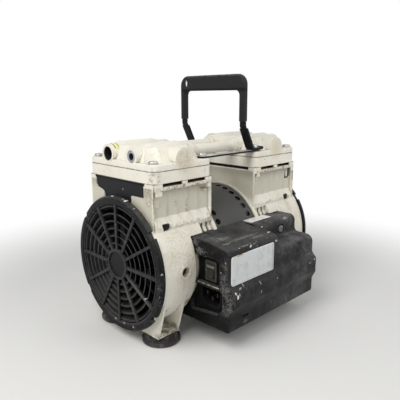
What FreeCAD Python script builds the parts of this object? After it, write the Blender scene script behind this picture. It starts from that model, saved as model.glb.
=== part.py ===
import FreeCAD, Part
import math
import os

# Portable oil-free vacuum pump with two rocking pistons on one motor shaft.
# Millimetres. The shaft runs along X, the electrical cover faces -Y, +Z is up and
# the four rubber feet stand on Z = 0. One end unit is built at +X and mirrored to -X.

V = FreeCAD.Vector
across_x = V(1, 0, 0)
across_y = V(0, 1, 0)
up_z = V(0, 0, 1)

# Shaft line and spacing of the two cylinders
shaft_height = 82.0
cylinder_spacing = 153.6
shaft_radius = 7.5
shaft_end_radius = 6.0
running_clearance = 0.05
fit_clearance = 0.1
gap = 0.3

# Motor
stator_radius = 65.5
shell_wall = 2.0
shell_vent_radius = 3.6
shell_vent_count = 36
shell_vent_inset = 10.6
core_half_length = 24.0
rotor_radius = 32.0
air_gap = 0.35
slot_count = 12
slot_width = 7.0
slot_depth = 15.0
winding_inner_radius = 37.0
winding_outer_radius = 51.0
winding_length = 10.0
end_ring_length = 5.0
tie_bolt_circle = 55.0
tie_bolt_angles = (45, 135, 225, 315)
tie_bolt_head_height = 3.5
tie_bolt_radius = 2.2
tie_bolt_head_radius = 4.0

# Cylinder, crank and rod
cylinder_bore = 57.0
sleeve_wall = 3.0
sleeve_length = 26.0
sleeve_flange = 2.5
sleeve_flange_thickness = 2.0
crank_throw = 4.5
top_clearance = 1.2
cup_thickness = 1.0
cup_lip_height = 2.6
retainer_thickness = 3.0
retainer_spigot_radius = 8.0
retainer_sink_radius = 5.6
retainer_sink_depth = 2.4
retainer_screw_head_radius = 5.4
retainer_screw_head_height = 2.3
retainer_screw_depth = 11.0
retainer_thread_depth = 12.0
retainer_socket_depth = 1.4
retainer_socket_radius = 2.0
piston_thickness = 6.0
rod_bearing_bore = 25.0
rod_bearing_outer = 52.0
rod_bearing_width = 15.0
bearing_ring_wall = 4.5
rod_ring_wall = 5.0
rod_width = 12.0
rod_web_width = 8.0
main_bearing_outer = 35.0
main_bearing_width = 11.0
counterweight_radius = 33.0
counterweight_thickness = 8.0
eccentric_hub_radius = 14.0
set_screw_radius = 2.0

# Housing castings
column_half_x = 40.3
column_half_y = 55.2
column_corner = 3.0
column_wall = 5.0
column_top = 172.7
deck_thickness = 6.7
side_wall = 10.4
drum_radius = 70.0
drum_step = 5.0
drum_wall = 5.5
drum_front = 120.0
drum_back = 76.0
drum_upper_back = 58.0
register_ring_radius = 68.0
register_ring_reach = 2.7
inner_wall = 7.2
bearing_hub_radius = 24.0
window_radius = 9.0
window_circle = 38.0
window_count = 6
pocket_depth = 5.0
pocket_margin = 3.2
flute_radius = 13.0
flute_pitch = 14.4
flute_relief = 1.8
flute_count = 5
pocket_bottom = 128.0
ledge_height = 10.0
lip_bottom = 165.5
lip_height = 3.9
lip_overhang = 0.8
lip_step_width = 5.0
lip_step_drop = 4.0
slot_height = 3.3
slot_spans = ((-29.6, -3.8), (3.4, 29.2))
inner_slot_half = 44.5
inner_slot_depth = 3.5
screw_slot_half = 4.2
screw_slot_bottom = 151.5
screw_slot_inner_y = 43.0
cover_side_recess = 1.8
drain_slot_top = 121.5
drain_slot_places = (44.7, 52.0)
drain_slot_radius = 1.5
plug_x = 101.5
plug_z = 128.4
plug_half_x = 4.8
plug_half_z = 3.3
plug_face = 52.6
side_boss_height = 83.0
side_boss_from_front = 29.0
side_boss_radius = 7.5
side_boss_hole = 5.2
side_boss_reach = 71.0
side_boss_depth = 5.5
leg_face = 114.8
leg_length = 29.3
leg_inner = 24.0
leg_outer = 52.0
leg_wall = 3.0
leg_top = 60.0
leg_slot_span = (93.0, 103.0)
foot_spacing_x = 196.0
foot_spacing_y = 76.0
foot_radius = 20.6
foot_height = 11.3
insert_radius = 5.0
insert_hole = 2.4
insert_length = 9.0
stud_radius = 3.0
foot_nut_radius = 5.6
foot_nut_height = 4.0

# Valve plate, gasket and head
valve_plate_thickness = 11.8
gasket_thickness = 0.6
head_corner = 8.0
head_flange = 6.4
dome_height = 14.5
dome_wall = 4.0
dome_base = (37.6, 50.4)
dome_crown = (29.2, 36.0)
dome_corner = 9.0
chamber_half_x = 25.0
chamber_reach_y = 32.0
chamber_corner = 8.0
pad_radius = 9.6
pad_taper = 9.0
screw_inset_x = 7.0
screw_inset_y = 8.8
head_screw_radius = 3.0
head_screw_clearance = 0.2
head_screw_head = 4.7
head_screw_head_height = 2.4
washer_margin = 0.6
washer_thickness = 0.6
port_spacing = 40.0
port_height = 5.5
intake_boss = 10.0
exhaust_boss = 9.3
hump_radius = 12.0
boss_setback = 0.7
cross_boss_radius = 11.7
cross_boss_height = 2.5
intake_hole = 7.0
intake_mouth = 7.4
intake_mouth_depth = 12.6
exhaust_hole = 6.2
bushing_hole = 3.75
bushing_length = 11.8
plug_length = 9.0
partition = 6.0

# Reed valves
reed_length = 33.0
reed_width = 13.0
reed_thickness = 0.3
reed_recess = 1.5
reed_root_x = 17.5
reed_offset_y = 14.0
reed_screw_from_root = 4.5
reed_screw_radius = 1.5
reed_screw_head = 2.8
reed_gap = 0.35
valve_hole = 4.0
valve_hole_x = -7.0
keeper_rise = 1.7
keeper_thickness = 1.0

# Fan and guard
fan_radius = 60.0
fan_hub_radius = 14.0
fan_inner_face = 92.0
fan_outer_face = 111.0
blade_count = 8
blade_thickness = 2.0
guard_radius = 73.0
guard_opening = 64.0
guard_front = 125.3
guard_hub_radius = 16.4
spoke_count = 12
spoke_width = 3.0
slat_count = 6
slat_first = 23.4
slat_pitch = 7.9
slat_thickness = 1.5
slat_depth = 4.6
slat_spread = 4.0
notch_width = 8.0
notch_depth = 3.5
notch_angles = (37, 143, 217, 323)
baffle_thickness = 1.5
baffle_recess = 2.5

# Handle and straps
strap_width = 11.0
strap_thickness = 2.0
strap_overlap = 12.0
strap_corner = 5.0
handle_x = 21.0
handle_half_y = 48.0
handle_bend_height = 226.0
handle_top = 279.5
handle_bar_height = 18.0
grip_leg_width = 7.5
grip_thickness = 8.0
grip_edge = 2.2
grip_outer_corner = 12.0
bail_thickness = 2.5
bail_margin = 1.6
bail_neck = 3.5
bail_foot_start = 36.0
bail_foot_end = 50.5
bail_tip = 2.0

# Tubes between the heads
tube_radius = 6.0
tube_bore = 4.6
tube_collar = 8.0
tube_collar_length = 4.0
tube_insertion = 7.0

# Electrical cover
cover_left = -73.0
cover_right = 80.5
cover_step = 8.0
cover_wall = 2.5
cover_gap = 0.4
cover_bottom = 22.5
cover_front = -110.5
cover_corner = 6.0
cover_end_edge = 2.4
cover_inner_y = -34.0
cover_back_y = -57.0
cover_back_z = 114.5
block_ridge_y = -90.0
block_ridge_z = 112.5
block_front_z = 108.5
bulge_reach = 7.5
bulge_low = 40.7
bulge_high = 73.5
bulge_peak = 61.0
hump_front = -84.5
hump_rise = 21.0
shelf_height = 93.5
panel_depth = 5.0
panel_wall = 3.0
recess_inner_y = -58.0
recess_upper_y = -99.0
recess_lower_y = -103.4
recess_middle_z = 67.0
recess_top = 97.0
cover_slot_span = (-52.0, -42.0)
cover_slot_z = 35.0
switch_y = -84.2
switch_z = 82.1
switch_width = 15.5
switch_height = 21.5
switch_depth = 20.0
bezel_thickness = 1.5
rocker_width = 10.0
rocker_radius = 8.2
rocker_tilt = 8.0
rocker_pin = 1.0
rocker_face = 3.6
rocker_dish = 1.6
inlet_y = -85.2
inlet_z = 54.5
inlet_width = 31.0
inlet_height = 22.0
inlet_flange = 2.0
inlet_cavity_width = 24.4
inlet_cavity_height = 16.6
inlet_cavity_depth = 16.0
inlet_wall = 1.6
pin_recess = 2.0
pin_places = ((-7.0, 2.6), (0.0, -2.4), (7.0, 2.6))
capacitor_y = -91.5
capacitor_z = 57.0
capacitor_radius = 19.5
capacitor_start = -25.0
capacitor_length = 88.0
cover_screw_x = 50.0
cover_screw_rise = 20.0
cover_screw_radius = 2.0
cover_screw_head = 4.2
cover_boss_radius = 5.0
bottom_screw_y = -45.0

# Sizes that follow from the ones above
unit_x = cylinder_spacing / 2
inner_face = unit_x - column_half_x
outer_face = unit_x + column_half_x
stator_half_length = inner_face - 0.2
register_radius = drum_radius - drum_step
chamber_radius = register_radius - drum_wall
fan_chamber_radius = drum_radius - drum_wall
deck_bottom = column_top - deck_thickness
sleeve_radius = cylinder_bore / 2 + sleeve_wall
plate_top = column_top + valve_plate_thickness
head_bottom = plate_top + gasket_thickness
flange_top = head_bottom + head_flange
port_z = flange_top + port_height
screw_x = column_half_x - screw_inset_x
screw_y = column_half_y - screw_inset_y
port_y = port_spacing / 2
main_bearing_start = inner_face + 6.0
main_bearing_end = main_bearing_start + main_bearing_width
rod_bearing_start = unit_x - rod_bearing_width / 2
rod_bearing_end = unit_x + rod_bearing_width / 2
journal_radius = rod_bearing_bore / 2
piston_radius = cylinder_bore / 2 - crank_throw - gap
rod_top = column_top - top_clearance - retainer_thickness - cup_thickness
rod_length = rod_top - shaft_height - crank_throw
rod_ring_radius = rod_bearing_outer / 2 + rod_ring_wall
side_boss_x = drum_front - side_boss_from_front
pocket_floor = column_half_y - pocket_depth
leg_start = leg_face - leg_length
leg_floor = foot_height + leg_wall
ring_start = inner_face - register_ring_reach
port_face = outer_face - boss_setback
baffle_plane = outer_face - baffle_recess
baffle_top = column_top - 1.4
baffle_bottom = shaft_height + fan_chamber_radius + 1.0
hub_start = main_bearing_end + 2.2
set_screw_x = hub_start + 4.2
hump_top = shelf_height + hump_rise
cover_screw_z = shaft_height + cover_screw_rise
bottom_seat_z = shaft_height - math.sqrt(register_radius ** 2 - bottom_screw_y ** 2)
panel_face = cover_left + panel_depth
rocker_pivot = panel_face + 1.5
cover_screw_seat = hump_front + 2.2
inlet_face = panel_face - inlet_flange
strap_top = flange_top + strap_thickness
bail_foot_top = strap_top + bail_thickness


# Basic shapes
def box(x0, x1, y0, y1, z0, z1):
    return Part.makeBox(x1 - x0, y1 - y0, z1 - z0, V(x0, y0, z0))


def cylinder_x(x0, x1, radius, y=0.0, z=shaft_height):
    return Part.makeCylinder(radius, x1 - x0, V(x0, y, z), across_x)


def cylinder_y(y0, y1, radius, x, z):
    return Part.makeCylinder(radius, y1 - y0, V(x, y0, z), across_y)


def cylinder_z(z0, z1, radius, x, y):
    return Part.makeCylinder(radius, z1 - z0, V(x, y, z0), up_z)


def tube_x(x0, x1, outer, inner, y=0.0, z=shaft_height):
    return cylinder_x(x0, x1, outer, y, z).cut(cylinder_x(x0 - 1, x1 + 1, inner, y, z))


def tube_z(z0, z1, outer, inner, x, y):
    return cylinder_z(z0, z1, outer, x, y).cut(cylinder_z(z0 - 1, z1 + 1, inner, x, y))


def in_yz(x):
    return lambda a, b: V(x, a, b)


def in_xz(y):
    return lambda a, b: V(a, y, b)


def in_xy(z):
    return lambda a, b: V(a, b, z)


# A closed face through the corners given as (a, b, corner radius)
def rounded_face(corners, place):
    edges = []
    last = None
    first = None
    count = len(corners)
    for number, (a, b, radius) in enumerate(corners):
        before = corners[number - 1]
        after = corners[(number + 1) % count]
        back = V(before[0] - a, before[1] - b, 0).normalize()
        ahead = V(after[0] - a, after[1] - b, 0).normalize()
        corner = V(a, b, 0)
        if radius > 0:
            half_angle = back.getAngle(ahead) / 2
            setback = radius / math.tan(half_angle)
            middle = (back + ahead).normalize()
            start = corner + back * setback
            end = corner + ahead * setback
            crown = corner + middle * (radius / math.sin(half_angle) - radius)
            arc = [place(p.x, p.y) for p in (start, crown, end)]
        else:
            start = corner
            end = corner
            arc = None
        if last is not None and (start - last).Length > 1e-6:
            edges.append(Part.LineSegment(place(last.x, last.y), place(start.x, start.y)).toShape())
        if first is None:
            first = start
        if arc:
            edges.append(Part.Arc(*arc).toShape())
        last = end
    if (first - last).Length > 1e-6:
        edges.append(Part.LineSegment(place(last.x, last.y), place(first.x, first.y)).toShape())
    return Part.Face(Part.Wire(Part.__sortEdges__(edges)))


def prism_x(corners, x0, x1):
    return rounded_face(corners, in_yz(x0)).extrude(V(x1 - x0, 0, 0))


def prism_y(corners, y0, y1):
    return rounded_face(corners, in_xz(y0)).extrude(V(0, y1 - y0, 0))


def prism_z(corners, z0, z1):
    return rounded_face(corners, in_xy(z0)).extrude(V(0, 0, z1 - z0))


def plate_corners(half_x, half_y, radius, x=0.0, y=0.0):
    return [
        (x - half_x, y - half_y, radius),
        (x + half_x, y - half_y, radius),
        (x + half_x, y + half_y, radius),
        (x - half_x, y + half_y, radius),
    ]


def plate(half_x, half_y, radius, z0, z1, x=0.0, y=0.0):
    return prism_z(plate_corners(half_x, half_y, radius, x, y), z0, z1)


# A ring about the shaft from corners given as (x, radius)
def turned_x(profile):
    points = [V(x, 0, shaft_height + r) for x, r in profile]
    face = Part.Face(Part.makePolygon(points + points[:1]))
    return face.revolve(V(0, 0, shaft_height), across_x, 360)


def turned(shape, angle, axis=across_x, centre=V(0, 0, shaft_height)):
    copy = shape.copy()
    copy.rotate(centre, axis, angle)
    return copy


def moved(shape, x=0.0, y=0.0, z=0.0):
    copy = shape.copy()
    copy.translate(V(x, y, z))
    return copy


def same_end(shape):
    return shape


def other_end(shape):
    return shape.mirror(V(0, 0, 0), across_x)


def other_side(shape):
    return shape.mirror(V(0, 0, 0), across_y)


def four_corners(shape):
    pair = [shape, other_side(shape)]
    return pair + [other_end(piece) for piece in pair]


def joined(first, others):
    return first.multiFuse(others).removeSplitter()


def save(name, *solids):
    shape = solids[0] if len(solids) == 1 else Part.makeCompound(list(solids))
    shape.exportStep("parts/" + name + ".step")


# Places of the four head screws on one end unit, as (x, y) from the cylinder axis
screw_places = [(i * screw_x, j * screw_y) for i in (-1, 1) for j in (-1, 1)]

# Outline of the black baffle on the fan side of a column, as (y, z, corner radius)
baffle_corners = [
    (43.0, baffle_top, 1.0),
    (43.0, baffle_top - 10.8, 4.0),
    (29.5, baffle_top - 14.8, 5.0),
    (27.0, baffle_bottom, 1.0),
    (-18.8, baffle_bottom, 1.0),
    (-18.8, baffle_top - 13.3, 1.0),
    (-38.8, baffle_top - 13.3, 1.0),
    (-38.8, baffle_top, 1.0),
]


# Housing: column, drum, motor end wall, bearing seat, legs, bosses
def housing_leg():
    gusset = [
        (leg_inner, foot_height, 0),
        (leg_outer, foot_height, 0),
        (drum_radius - 3.5, leg_top, 0),
        (drum_radius - 25, leg_top, 0),
        (leg_inner, foot_height + 30, 0),
    ]
    ribbed = gusset[:3] + [(side_boss_reach - 1.0, side_boss_height - 2, 0), (drum_radius - 8,
                                                                              side_boss_height - 2, 0)]
    ribbed += gusset[3:]
    walls = [prism_x(ribbed, leg_start, leg_start + leg_wall), prism_x(gusset, leg_face - leg_wall, leg_face)]
    sole = box(leg_start, leg_face, leg_inner, leg_outer, foot_height, leg_floor)
    lip = box(leg_start, leg_face, leg_outer, leg_outer + 1.2, foot_height, foot_height + 1.6)
    back = box(leg_start, leg_face, leg_inner, leg_inner + leg_wall, foot_height, foot_height + 10)
    boss = cylinder_y(drum_radius - 4, side_boss_reach, side_boss_radius, side_boss_x, side_boss_height)
    return walls + [sole, lip, back, boss]


# The pocket ends below in a sloped ledge; each flute runs out over it as a narrowing cone
def column_pocket():
    ledge_top = pocket_bottom + ledge_height
    sloped = [
        (pocket_floor, lip_bottom, 0),
        (pocket_floor, ledge_top, 0),
        (column_half_y, pocket_bottom, 0),
        (column_half_y + 3, pocket_bottom, 0),
        (column_half_y + 3, lip_bottom, 0),
    ]
    cutter = prism_x(sloped, inner_face + pocket_margin, outer_face - pocket_margin)
    flute_y = pocket_floor + flute_radius - flute_relief
    flutes = []
    for number in range(flute_count):
        x = unit_x + (number - (flute_count - 1) / 2) * flute_pitch
        flutes.append(cylinder_z(ledge_top, lip_bottom, flute_radius, x, flute_y))
        flutes.append(Part.makeCone(flute_y - column_half_y, flute_radius, ledge_height, V(x, flute_y,
                                                                                           pocket_bottom)))
    return cutter.multiFuse(flutes)


def column_lip():
    lip_corners = [
        (column_half_y - 2, lip_bottom, 0),
        (column_half_y + lip_overhang, lip_bottom + 0.8, 0.4),
        (column_half_y + lip_overhang, lip_bottom + lip_height, 0.4),
        (column_half_y - 2, lip_bottom + lip_height, 0),
    ]
    lip = prism_x(lip_corners, inner_face + 4, outer_face - 7)
    steps = []
    for end in (inner_face + pocket_margin, outer_face - pocket_margin - lip_step_width):
        steps.append(box(end, end + lip_step_width, pocket_floor - 1, column_half_y + 0.4,
                         lip_bottom - lip_step_drop, lip_bottom + lip_height))
    return [lip] + steps


# Slots under the valve plate, and a round-ended one that bares each outer head screw
def column_vents():
    low = column_top - slot_height
    vents = []
    for start, end in slot_spans:
        vents.append(box(unit_x + start, unit_x + end, column_half_y - 11, column_half_y + 5, low,
                         column_top + 1))
    for x, y in screw_places:
        if x > 0 and y > 0:
            x += unit_x
            vents.append(box(x - screw_slot_half, x + screw_slot_half, screw_slot_inner_y,
                             column_half_y - 0.4,
                             screw_slot_bottom + screw_slot_half, lip_bottom))
            vents.append(cylinder_y(screw_slot_inner_y, column_half_y - 0.4, screw_slot_half, x,
                                    screw_slot_bottom + screw_slot_half))
    vents += [other_side(vent) for vent in vents]
    vents.append(box(inner_face - 1, inner_face + inner_slot_depth, -inner_slot_half, inner_slot_half, low,
                     column_top + 1))
    return vents


# The flat on the side face beside the motor
def side_flat():
    flat = box(inner_face + 2.3, drum_upper_back, column_half_y - cover_side_recess, drum_radius,
               shaft_height, drain_slot_top + 2.5)
    return flat.cut(cylinder_x(inner_face - 1, drum_upper_back + 1, register_radius))


# Cuts on the side faces: threaded boss, plug hole and the drain slots beside the motor
def side_cuts():
    depth_range = (pocket_floor - 12, drum_radius + 1)
    cuts = [
        cylinder_y(side_boss_reach - side_boss_depth, side_boss_reach + 1, side_boss_hole, side_boss_x,
                   side_boss_height),
        prism_y(plug_corners(gap / 2), *depth_range),
    ]
    for x in drain_slot_places:
        cuts.append(cylinder_y(*depth_range, drain_slot_radius, x, drain_slot_top))
        cuts.append(box(x - drain_slot_radius + 0.2, x + drain_slot_radius - 0.2, *depth_range,
                        drain_slot_top - 10, drain_slot_top))
    return cuts


# The drum reaches further back over the motor, with a seat cut out of it for the electrical cover
def drum():
    shape = cylinder_x(drum_upper_back, drum_front, drum_radius)
    seat = box(drum_upper_back - 1, drum_back, -drum_radius - 1, cover_inner_y + 0.5,
               cover_bottom - 0.5, cover_back_z + 0.8)
    return shape.cut(seat)


def housing():
    column = plate(column_half_x, column_half_y, column_corner, shaft_height, column_top, x=unit_x)
    register = cylinder_x(inner_face, drum_back, register_radius)
    ring = cylinder_x(ring_start, inner_face + 2.3, register_ring_radius)
    legs = housing_leg()
    legs += [other_side(piece) for piece in legs]
    shape = column.multiFuse([drum(), register, ring] + legs)
    pocket = column_pocket()
    flat = side_flat()
    shape = shape.cut(Part.makeCompound([pocket, other_side(pocket)])).cut(flat).cut(other_side(flat))
    lips = column_lip()
    lips += [other_side(piece) for piece in lips]
    bosses = []
    for x, y in screw_places:
        bosses.append(cylinder_z(lip_bottom - 8, column_top, head_screw_radius + 2.4, unit_x + x, y))
    shape = shape.multiFuse(lips + bosses)

    # Hollows: fan chamber, crank chamber, cylinder space, deck bore, sleeve seat
    hollows = [
        cylinder_x(drum_back + 2, drum_front + 1, fan_chamber_radius),
        cylinder_x(inner_face + inner_wall, drum_back + 3, chamber_radius),
        plate(column_half_x - column_wall, column_half_y - side_wall, 4.0, shaft_height, deck_bottom,
              x=unit_x),
        cylinder_z(deck_bottom - 1, column_top + 1, sleeve_radius + fit_clearance, unit_x, 0),
        cylinder_z(column_top - sleeve_flange_thickness, column_top + 1,
                   sleeve_radius + sleeve_flange + fit_clearance, unit_x, 0),
        cylinder_x(ring_start - 1, inner_face, stator_radius + gap),
    ]
    for hollow in hollows:
        shape = shape.cut(hollow)

    # Bearing hub with its shoulder on the motor side
    hub = cylinder_x(inner_face, main_bearing_end, bearing_hub_radius)
    seat = cylinder_x(main_bearing_start, main_bearing_end + 1, main_bearing_outer / 2 + running_clearance)
    throat = cylinder_x(inner_face - 1, main_bearing_start + 1, shaft_radius + 3)
    shape = shape.fuse(hub).cut(seat).cut(throat)

    # Air windows and tie bolt holes through the end wall
    cuts = []
    for number in range(window_count):
        window = cylinder_x(inner_face - 1, inner_face + inner_wall + 1, window_radius, 0,
                            shaft_height + window_circle)
        cuts.append(turned(window, number * 360 / window_count))
    for angle in tie_bolt_angles:
        hole = cylinder_x(inner_face - 1, inner_face + inner_wall + 1, tie_bolt_radius + 0.2,
                          0, shaft_height + tie_bolt_circle)
        cuts.append(turned(hole, angle))
    for x, y in screw_places:
        cuts.append(cylinder_z(lip_bottom - 5, column_top + 1, head_screw_radius + fit_clearance,
                               unit_x + x, y))

    # Recess and opening behind the baffle
    outline = rounded_face(baffle_corners, in_yz(baffle_plane))
    cuts.append(outline.makeOffset2D(gap).extrude(V(baffle_recess + 1, 0, 0)))
    opening = outline.makeOffset2D(-3.0)
    opening.translate(V(-column_wall, 0, 0))
    cuts.append(opening.extrude(V(column_wall + 1, 0, 0)))

    # Vents under the valve plate, side cuts, stud holes and the slot in the back wall of each leg
    cuts += column_vents()
    bores = side_cuts()
    bores.append(cylinder_z(foot_height - 1, leg_floor + 1, stud_radius + 0.2,
                            foot_spacing_x / 2, foot_spacing_y / 2))
    bores.append(box(*leg_slot_span, leg_inner - 1, leg_inner + leg_wall + 1, foot_height + 5.5,
                     foot_height + 7.5))
    cuts += bores + [other_side(bore) for bore in bores]

    # Seats of the cover screws
    cuts.append(cylinder_y(-register_radius - 2, -chamber_radius + 6, cover_screw_radius + 0.05,
                           cover_screw_x, cover_screw_z))
    cuts.append(cylinder_z(cover_bottom, bottom_seat_z + 6.9, cover_screw_radius + 0.05, cover_screw_x,
                           bottom_screw_y))
    for cut in cuts:
        shape = shape.cut(cut)
    return shape.removeSplitter()


def plug_corners(extra):
    return [(a, b, plug_half_z + extra - 1.2) for a, b, _ in
            plate_corners(plug_half_x + extra, plug_half_z + extra, 0, plug_x, plug_z)]


# Motor: perforated shell, slotted core, end windings, tie bolts
def stator_shell():
    shape = tube_x(-stator_half_length, stator_half_length, stator_radius, stator_radius - shell_wall)
    vents = []
    for number in range(shell_vent_count):
        angle = 360 * (number + 0.5) / shell_vent_count
        hole = cylinder_z(shaft_height + stator_radius - shell_wall - 2, shaft_height + stator_radius + 2,
                          shell_vent_radius, stator_half_length - shell_vent_inset, 0)
        vents.append(turned(hole, angle))
    vents += [other_end(vent) for vent in vents]
    return shape.cut(Part.makeCompound(vents))


def stator_core():
    shape = tube_x(-core_half_length, core_half_length, stator_radius - shell_wall, rotor_radius + air_gap)
    cuts = []
    slot_start = rotor_radius + air_gap + 2
    for number in range(slot_count):
        slot = box(-core_half_length - 1, core_half_length + 1, -slot_width / 2, slot_width / 2,
                   shaft_height + slot_start, shaft_height + slot_start + slot_depth)
        cuts.append(turned(slot, number * 360 / slot_count))
    for angle in tie_bolt_angles:
        hole = cylinder_x(-core_half_length - 1, core_half_length + 1, tie_bolt_radius + 0.3,
                          0, shaft_height + tie_bolt_circle)
        cuts.append(turned(hole, angle))
    return shape.cut(Part.makeCompound(cuts))


def winding():
    start = core_half_length
    end = core_half_length + winding_length
    soft = 3.0
    return turned_x([
        (start, winding_inner_radius), (end - soft, winding_inner_radius), (end, winding_inner_radius + soft),
        (end, winding_outer_radius - soft), (end - soft, winding_outer_radius), (start, winding_outer_radius),
    ])


def tie_bolt(angle):
    grip = inner_face + inner_wall
    end = grip + tie_bolt_head_height
    shank = cylinder_x(-end, end + 0.5, tie_bolt_radius, 0, shaft_height + tie_bolt_circle)
    head = cylinder_x(-end, -grip, tie_bolt_head_radius, 0, shaft_height + tie_bolt_circle)
    nut = cylinder_x(grip, end, tie_bolt_head_radius, 0, shaft_height + tie_bolt_circle)
    return turned(shank.multiFuse([head, nut]), angle)


def rotor_core():
    body = tube_x(-core_half_length, core_half_length, rotor_radius, shaft_radius + running_clearance)
    rings = []
    for end in (-1, 1):
        low, high = sorted((end * core_half_length, end * (core_half_length + end_ring_length)))
        rings.append(tube_x(low, high, rotor_radius - 2, rotor_radius - 13))
    return joined(body, rings)


# Bearings
def bearing_outer(x0, x1, outer, z=shaft_height):
    return tube_x(x0, x1, outer / 2, outer / 2 - bearing_ring_wall, 0, z)


def bearing_inner(x0, x1, outer, bore, z=shaft_height):
    return tube_x(x0, x1, outer / 2 - bearing_ring_wall - gap, bore / 2, 0, z)


# Crank: eccentric with its hub and counterweight; throw is up (+1) or down (-1)
def eccentric(throw):
    journal_z = shaft_height + throw * crank_throw
    hub = cylinder_x(hub_start, rod_bearing_start, eccentric_hub_radius)
    journal = cylinder_x(rod_bearing_start - 0.5, rod_bearing_end, journal_radius - 0.03, 0, journal_z)
    weight_start = rod_bearing_start - counterweight_thickness - 0.8
    disc = cylinder_x(weight_start, weight_start + counterweight_thickness, counterweight_radius)
    half = box(weight_start - 1, weight_start + counterweight_thickness + 1, -counterweight_radius - 1,
               counterweight_radius + 1, shaft_height - counterweight_radius - 1, shaft_height - 6)
    weight = disc.common(half)
    if throw < 0:
        weight = turned(weight, 180)
    shape = joined(hub, [journal, weight])
    shape = shape.cut(cylinder_x(hub_start - 1, main_bearing_end + 4, shaft_radius + fit_clearance))
    shape = shape.cut(cylinder_x(hub_start, rod_bearing_end + 1, shaft_end_radius + running_clearance))
    side = 1 if throw > 0 else -1
    screw_z = sorted((shaft_height + side * shaft_end_radius,
                      shaft_height + side * (eccentric_hub_radius + 1)))
    return shape.cut(cylinder_z(screw_z[0], screw_z[1], set_screw_radius + 0.02, set_screw_x, 0))


def set_screw(throw):
    side = 1 if throw > 0 else -1
    ends = sorted((shaft_height + side * (shaft_end_radius + 0.05),
                   shaft_height + side * (eccentric_hub_radius - 1)))
    return cylinder_z(ends[0], ends[1], set_screw_radius, set_screw_x, 0)


# Rod with its piston head, in one casting
def piston_rod(throw):
    pin_z = shaft_height + throw * crank_throw
    top = pin_z + rod_length
    start = unit_x - rod_width / 2
    ring = cylinder_x(start, start + rod_width, rod_ring_radius, 0, pin_z)
    web_corners = [
        (-rod_ring_radius + 9, pin_z + 15, 0),
        (rod_ring_radius - 9, pin_z + 15, 0),
        (9.0, pin_z + rod_ring_radius + 10, 12.0),
        (9.0, top - piston_thickness - 4, 3.0),
        (17.0, top - piston_thickness + 1, 0),
        (-17.0, top - piston_thickness + 1, 0),
        (-9.0, top - piston_thickness - 4, 3.0),
        (-9.0, pin_z + rod_ring_radius + 10, 12.0),
    ]
    web = prism_x(web_corners, unit_x - rod_web_width / 2, unit_x + rod_web_width / 2)
    head = cylinder_z(top - piston_thickness, top, piston_radius, unit_x, 0)
    shape = joined(ring, [web, head])
    bore = cylinder_x(start - 1, start + rod_width + 1, rod_bearing_outer / 2 + 0.02, 0, pin_z)
    thread = cylinder_z(top - retainer_thread_depth, top + 1, reed_screw_radius + 1.02, unit_x, 0)
    lightening = cylinder_x(start - 1, start + rod_width + 1, 4.0, 0, pin_z + rod_ring_radius + 9)
    return shape.cut(bore).cut(thread).cut(lightening)


def piston_cup(throw):
    base = shaft_height + throw * crank_throw + rod_length
    outer = cylinder_bore / 2 - fit_clearance
    disc = tube_z(base, base + cup_thickness, outer, retainer_spigot_radius, unit_x, 0)
    lip = tube_z(base, base + cup_thickness + cup_lip_height, outer, outer - cup_thickness, unit_x, 0)
    return joined(disc, [lip])


def cup_retainer(throw):
    base = shaft_height + throw * crank_throw + rod_length + cup_thickness
    disc = Part.makeCone(piston_radius - 1, piston_radius - 3, retainer_thickness, V(unit_x, 0, base))
    spigot = cylinder_z(base - cup_thickness, base, retainer_spigot_radius, unit_x, 0)
    shape = joined(disc, [spigot])
    bore = cylinder_z(base - 2, base + 5, reed_screw_radius + 1.1, unit_x, 0)
    sink_z = base + retainer_thickness - retainer_sink_depth
    sink = Part.makeCone(reed_screw_radius + 1.1, retainer_sink_radius, retainer_sink_depth, V(unit_x, 0,
                                                                                               sink_z))
    return shape.cut(bore).cut(sink)


def retainer_screw(throw):
    base = shaft_height + throw * crank_throw + rod_length + cup_thickness
    top = base + retainer_thickness
    head = Part.makeCone(reed_screw_radius + 1.0, retainer_screw_head_radius, retainer_screw_head_height,
                         V(unit_x, 0, top - retainer_sink_depth))
    shank = cylinder_z(base - retainer_screw_depth, top - retainer_screw_head_height, reed_screw_radius + 1.0,
                       unit_x, 0)
    socket = cylinder_z(top - retainer_socket_depth, top + 1, retainer_socket_radius, unit_x, 0)
    return head.fuse(shank).cut(socket)


def cylinder_sleeve():
    tube = cylinder_z(column_top - sleeve_length, column_top, sleeve_radius, unit_x, 0)
    flange = cylinder_z(column_top - sleeve_flange_thickness, column_top, sleeve_radius + sleeve_flange,
                        unit_x, 0)
    bore = cylinder_z(column_top - sleeve_length - 1, column_top + 1, cylinder_bore / 2, unit_x, 0)
    shape = tube.fuse(flange).cut(bore)
    groove = tube_z(column_top - 0.8, column_top + 1, sleeve_radius + 1.4, sleeve_radius - 0.6, unit_x, 0)
    return shape.cut(groove)


def sleeve_seal():
    return tube_z(column_top - 0.8, column_top, sleeve_radius + 1.4, sleeve_radius - 0.6, unit_x, 0)


# Valve plate with its reeds. The plate, the gasket and the head are built on the cylinder axis
# at X = 0 and then placed at each end without mirroring, as both ends use the same castings.
def reed_corners(extra, side):
    centre_x = reed_root_x - reed_length / 2
    return plate_corners(reed_length / 2 + extra, reed_width / 2 + extra, reed_width / 2 + extra - 0.3,
                         centre_x, side * reed_offset_y)


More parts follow.
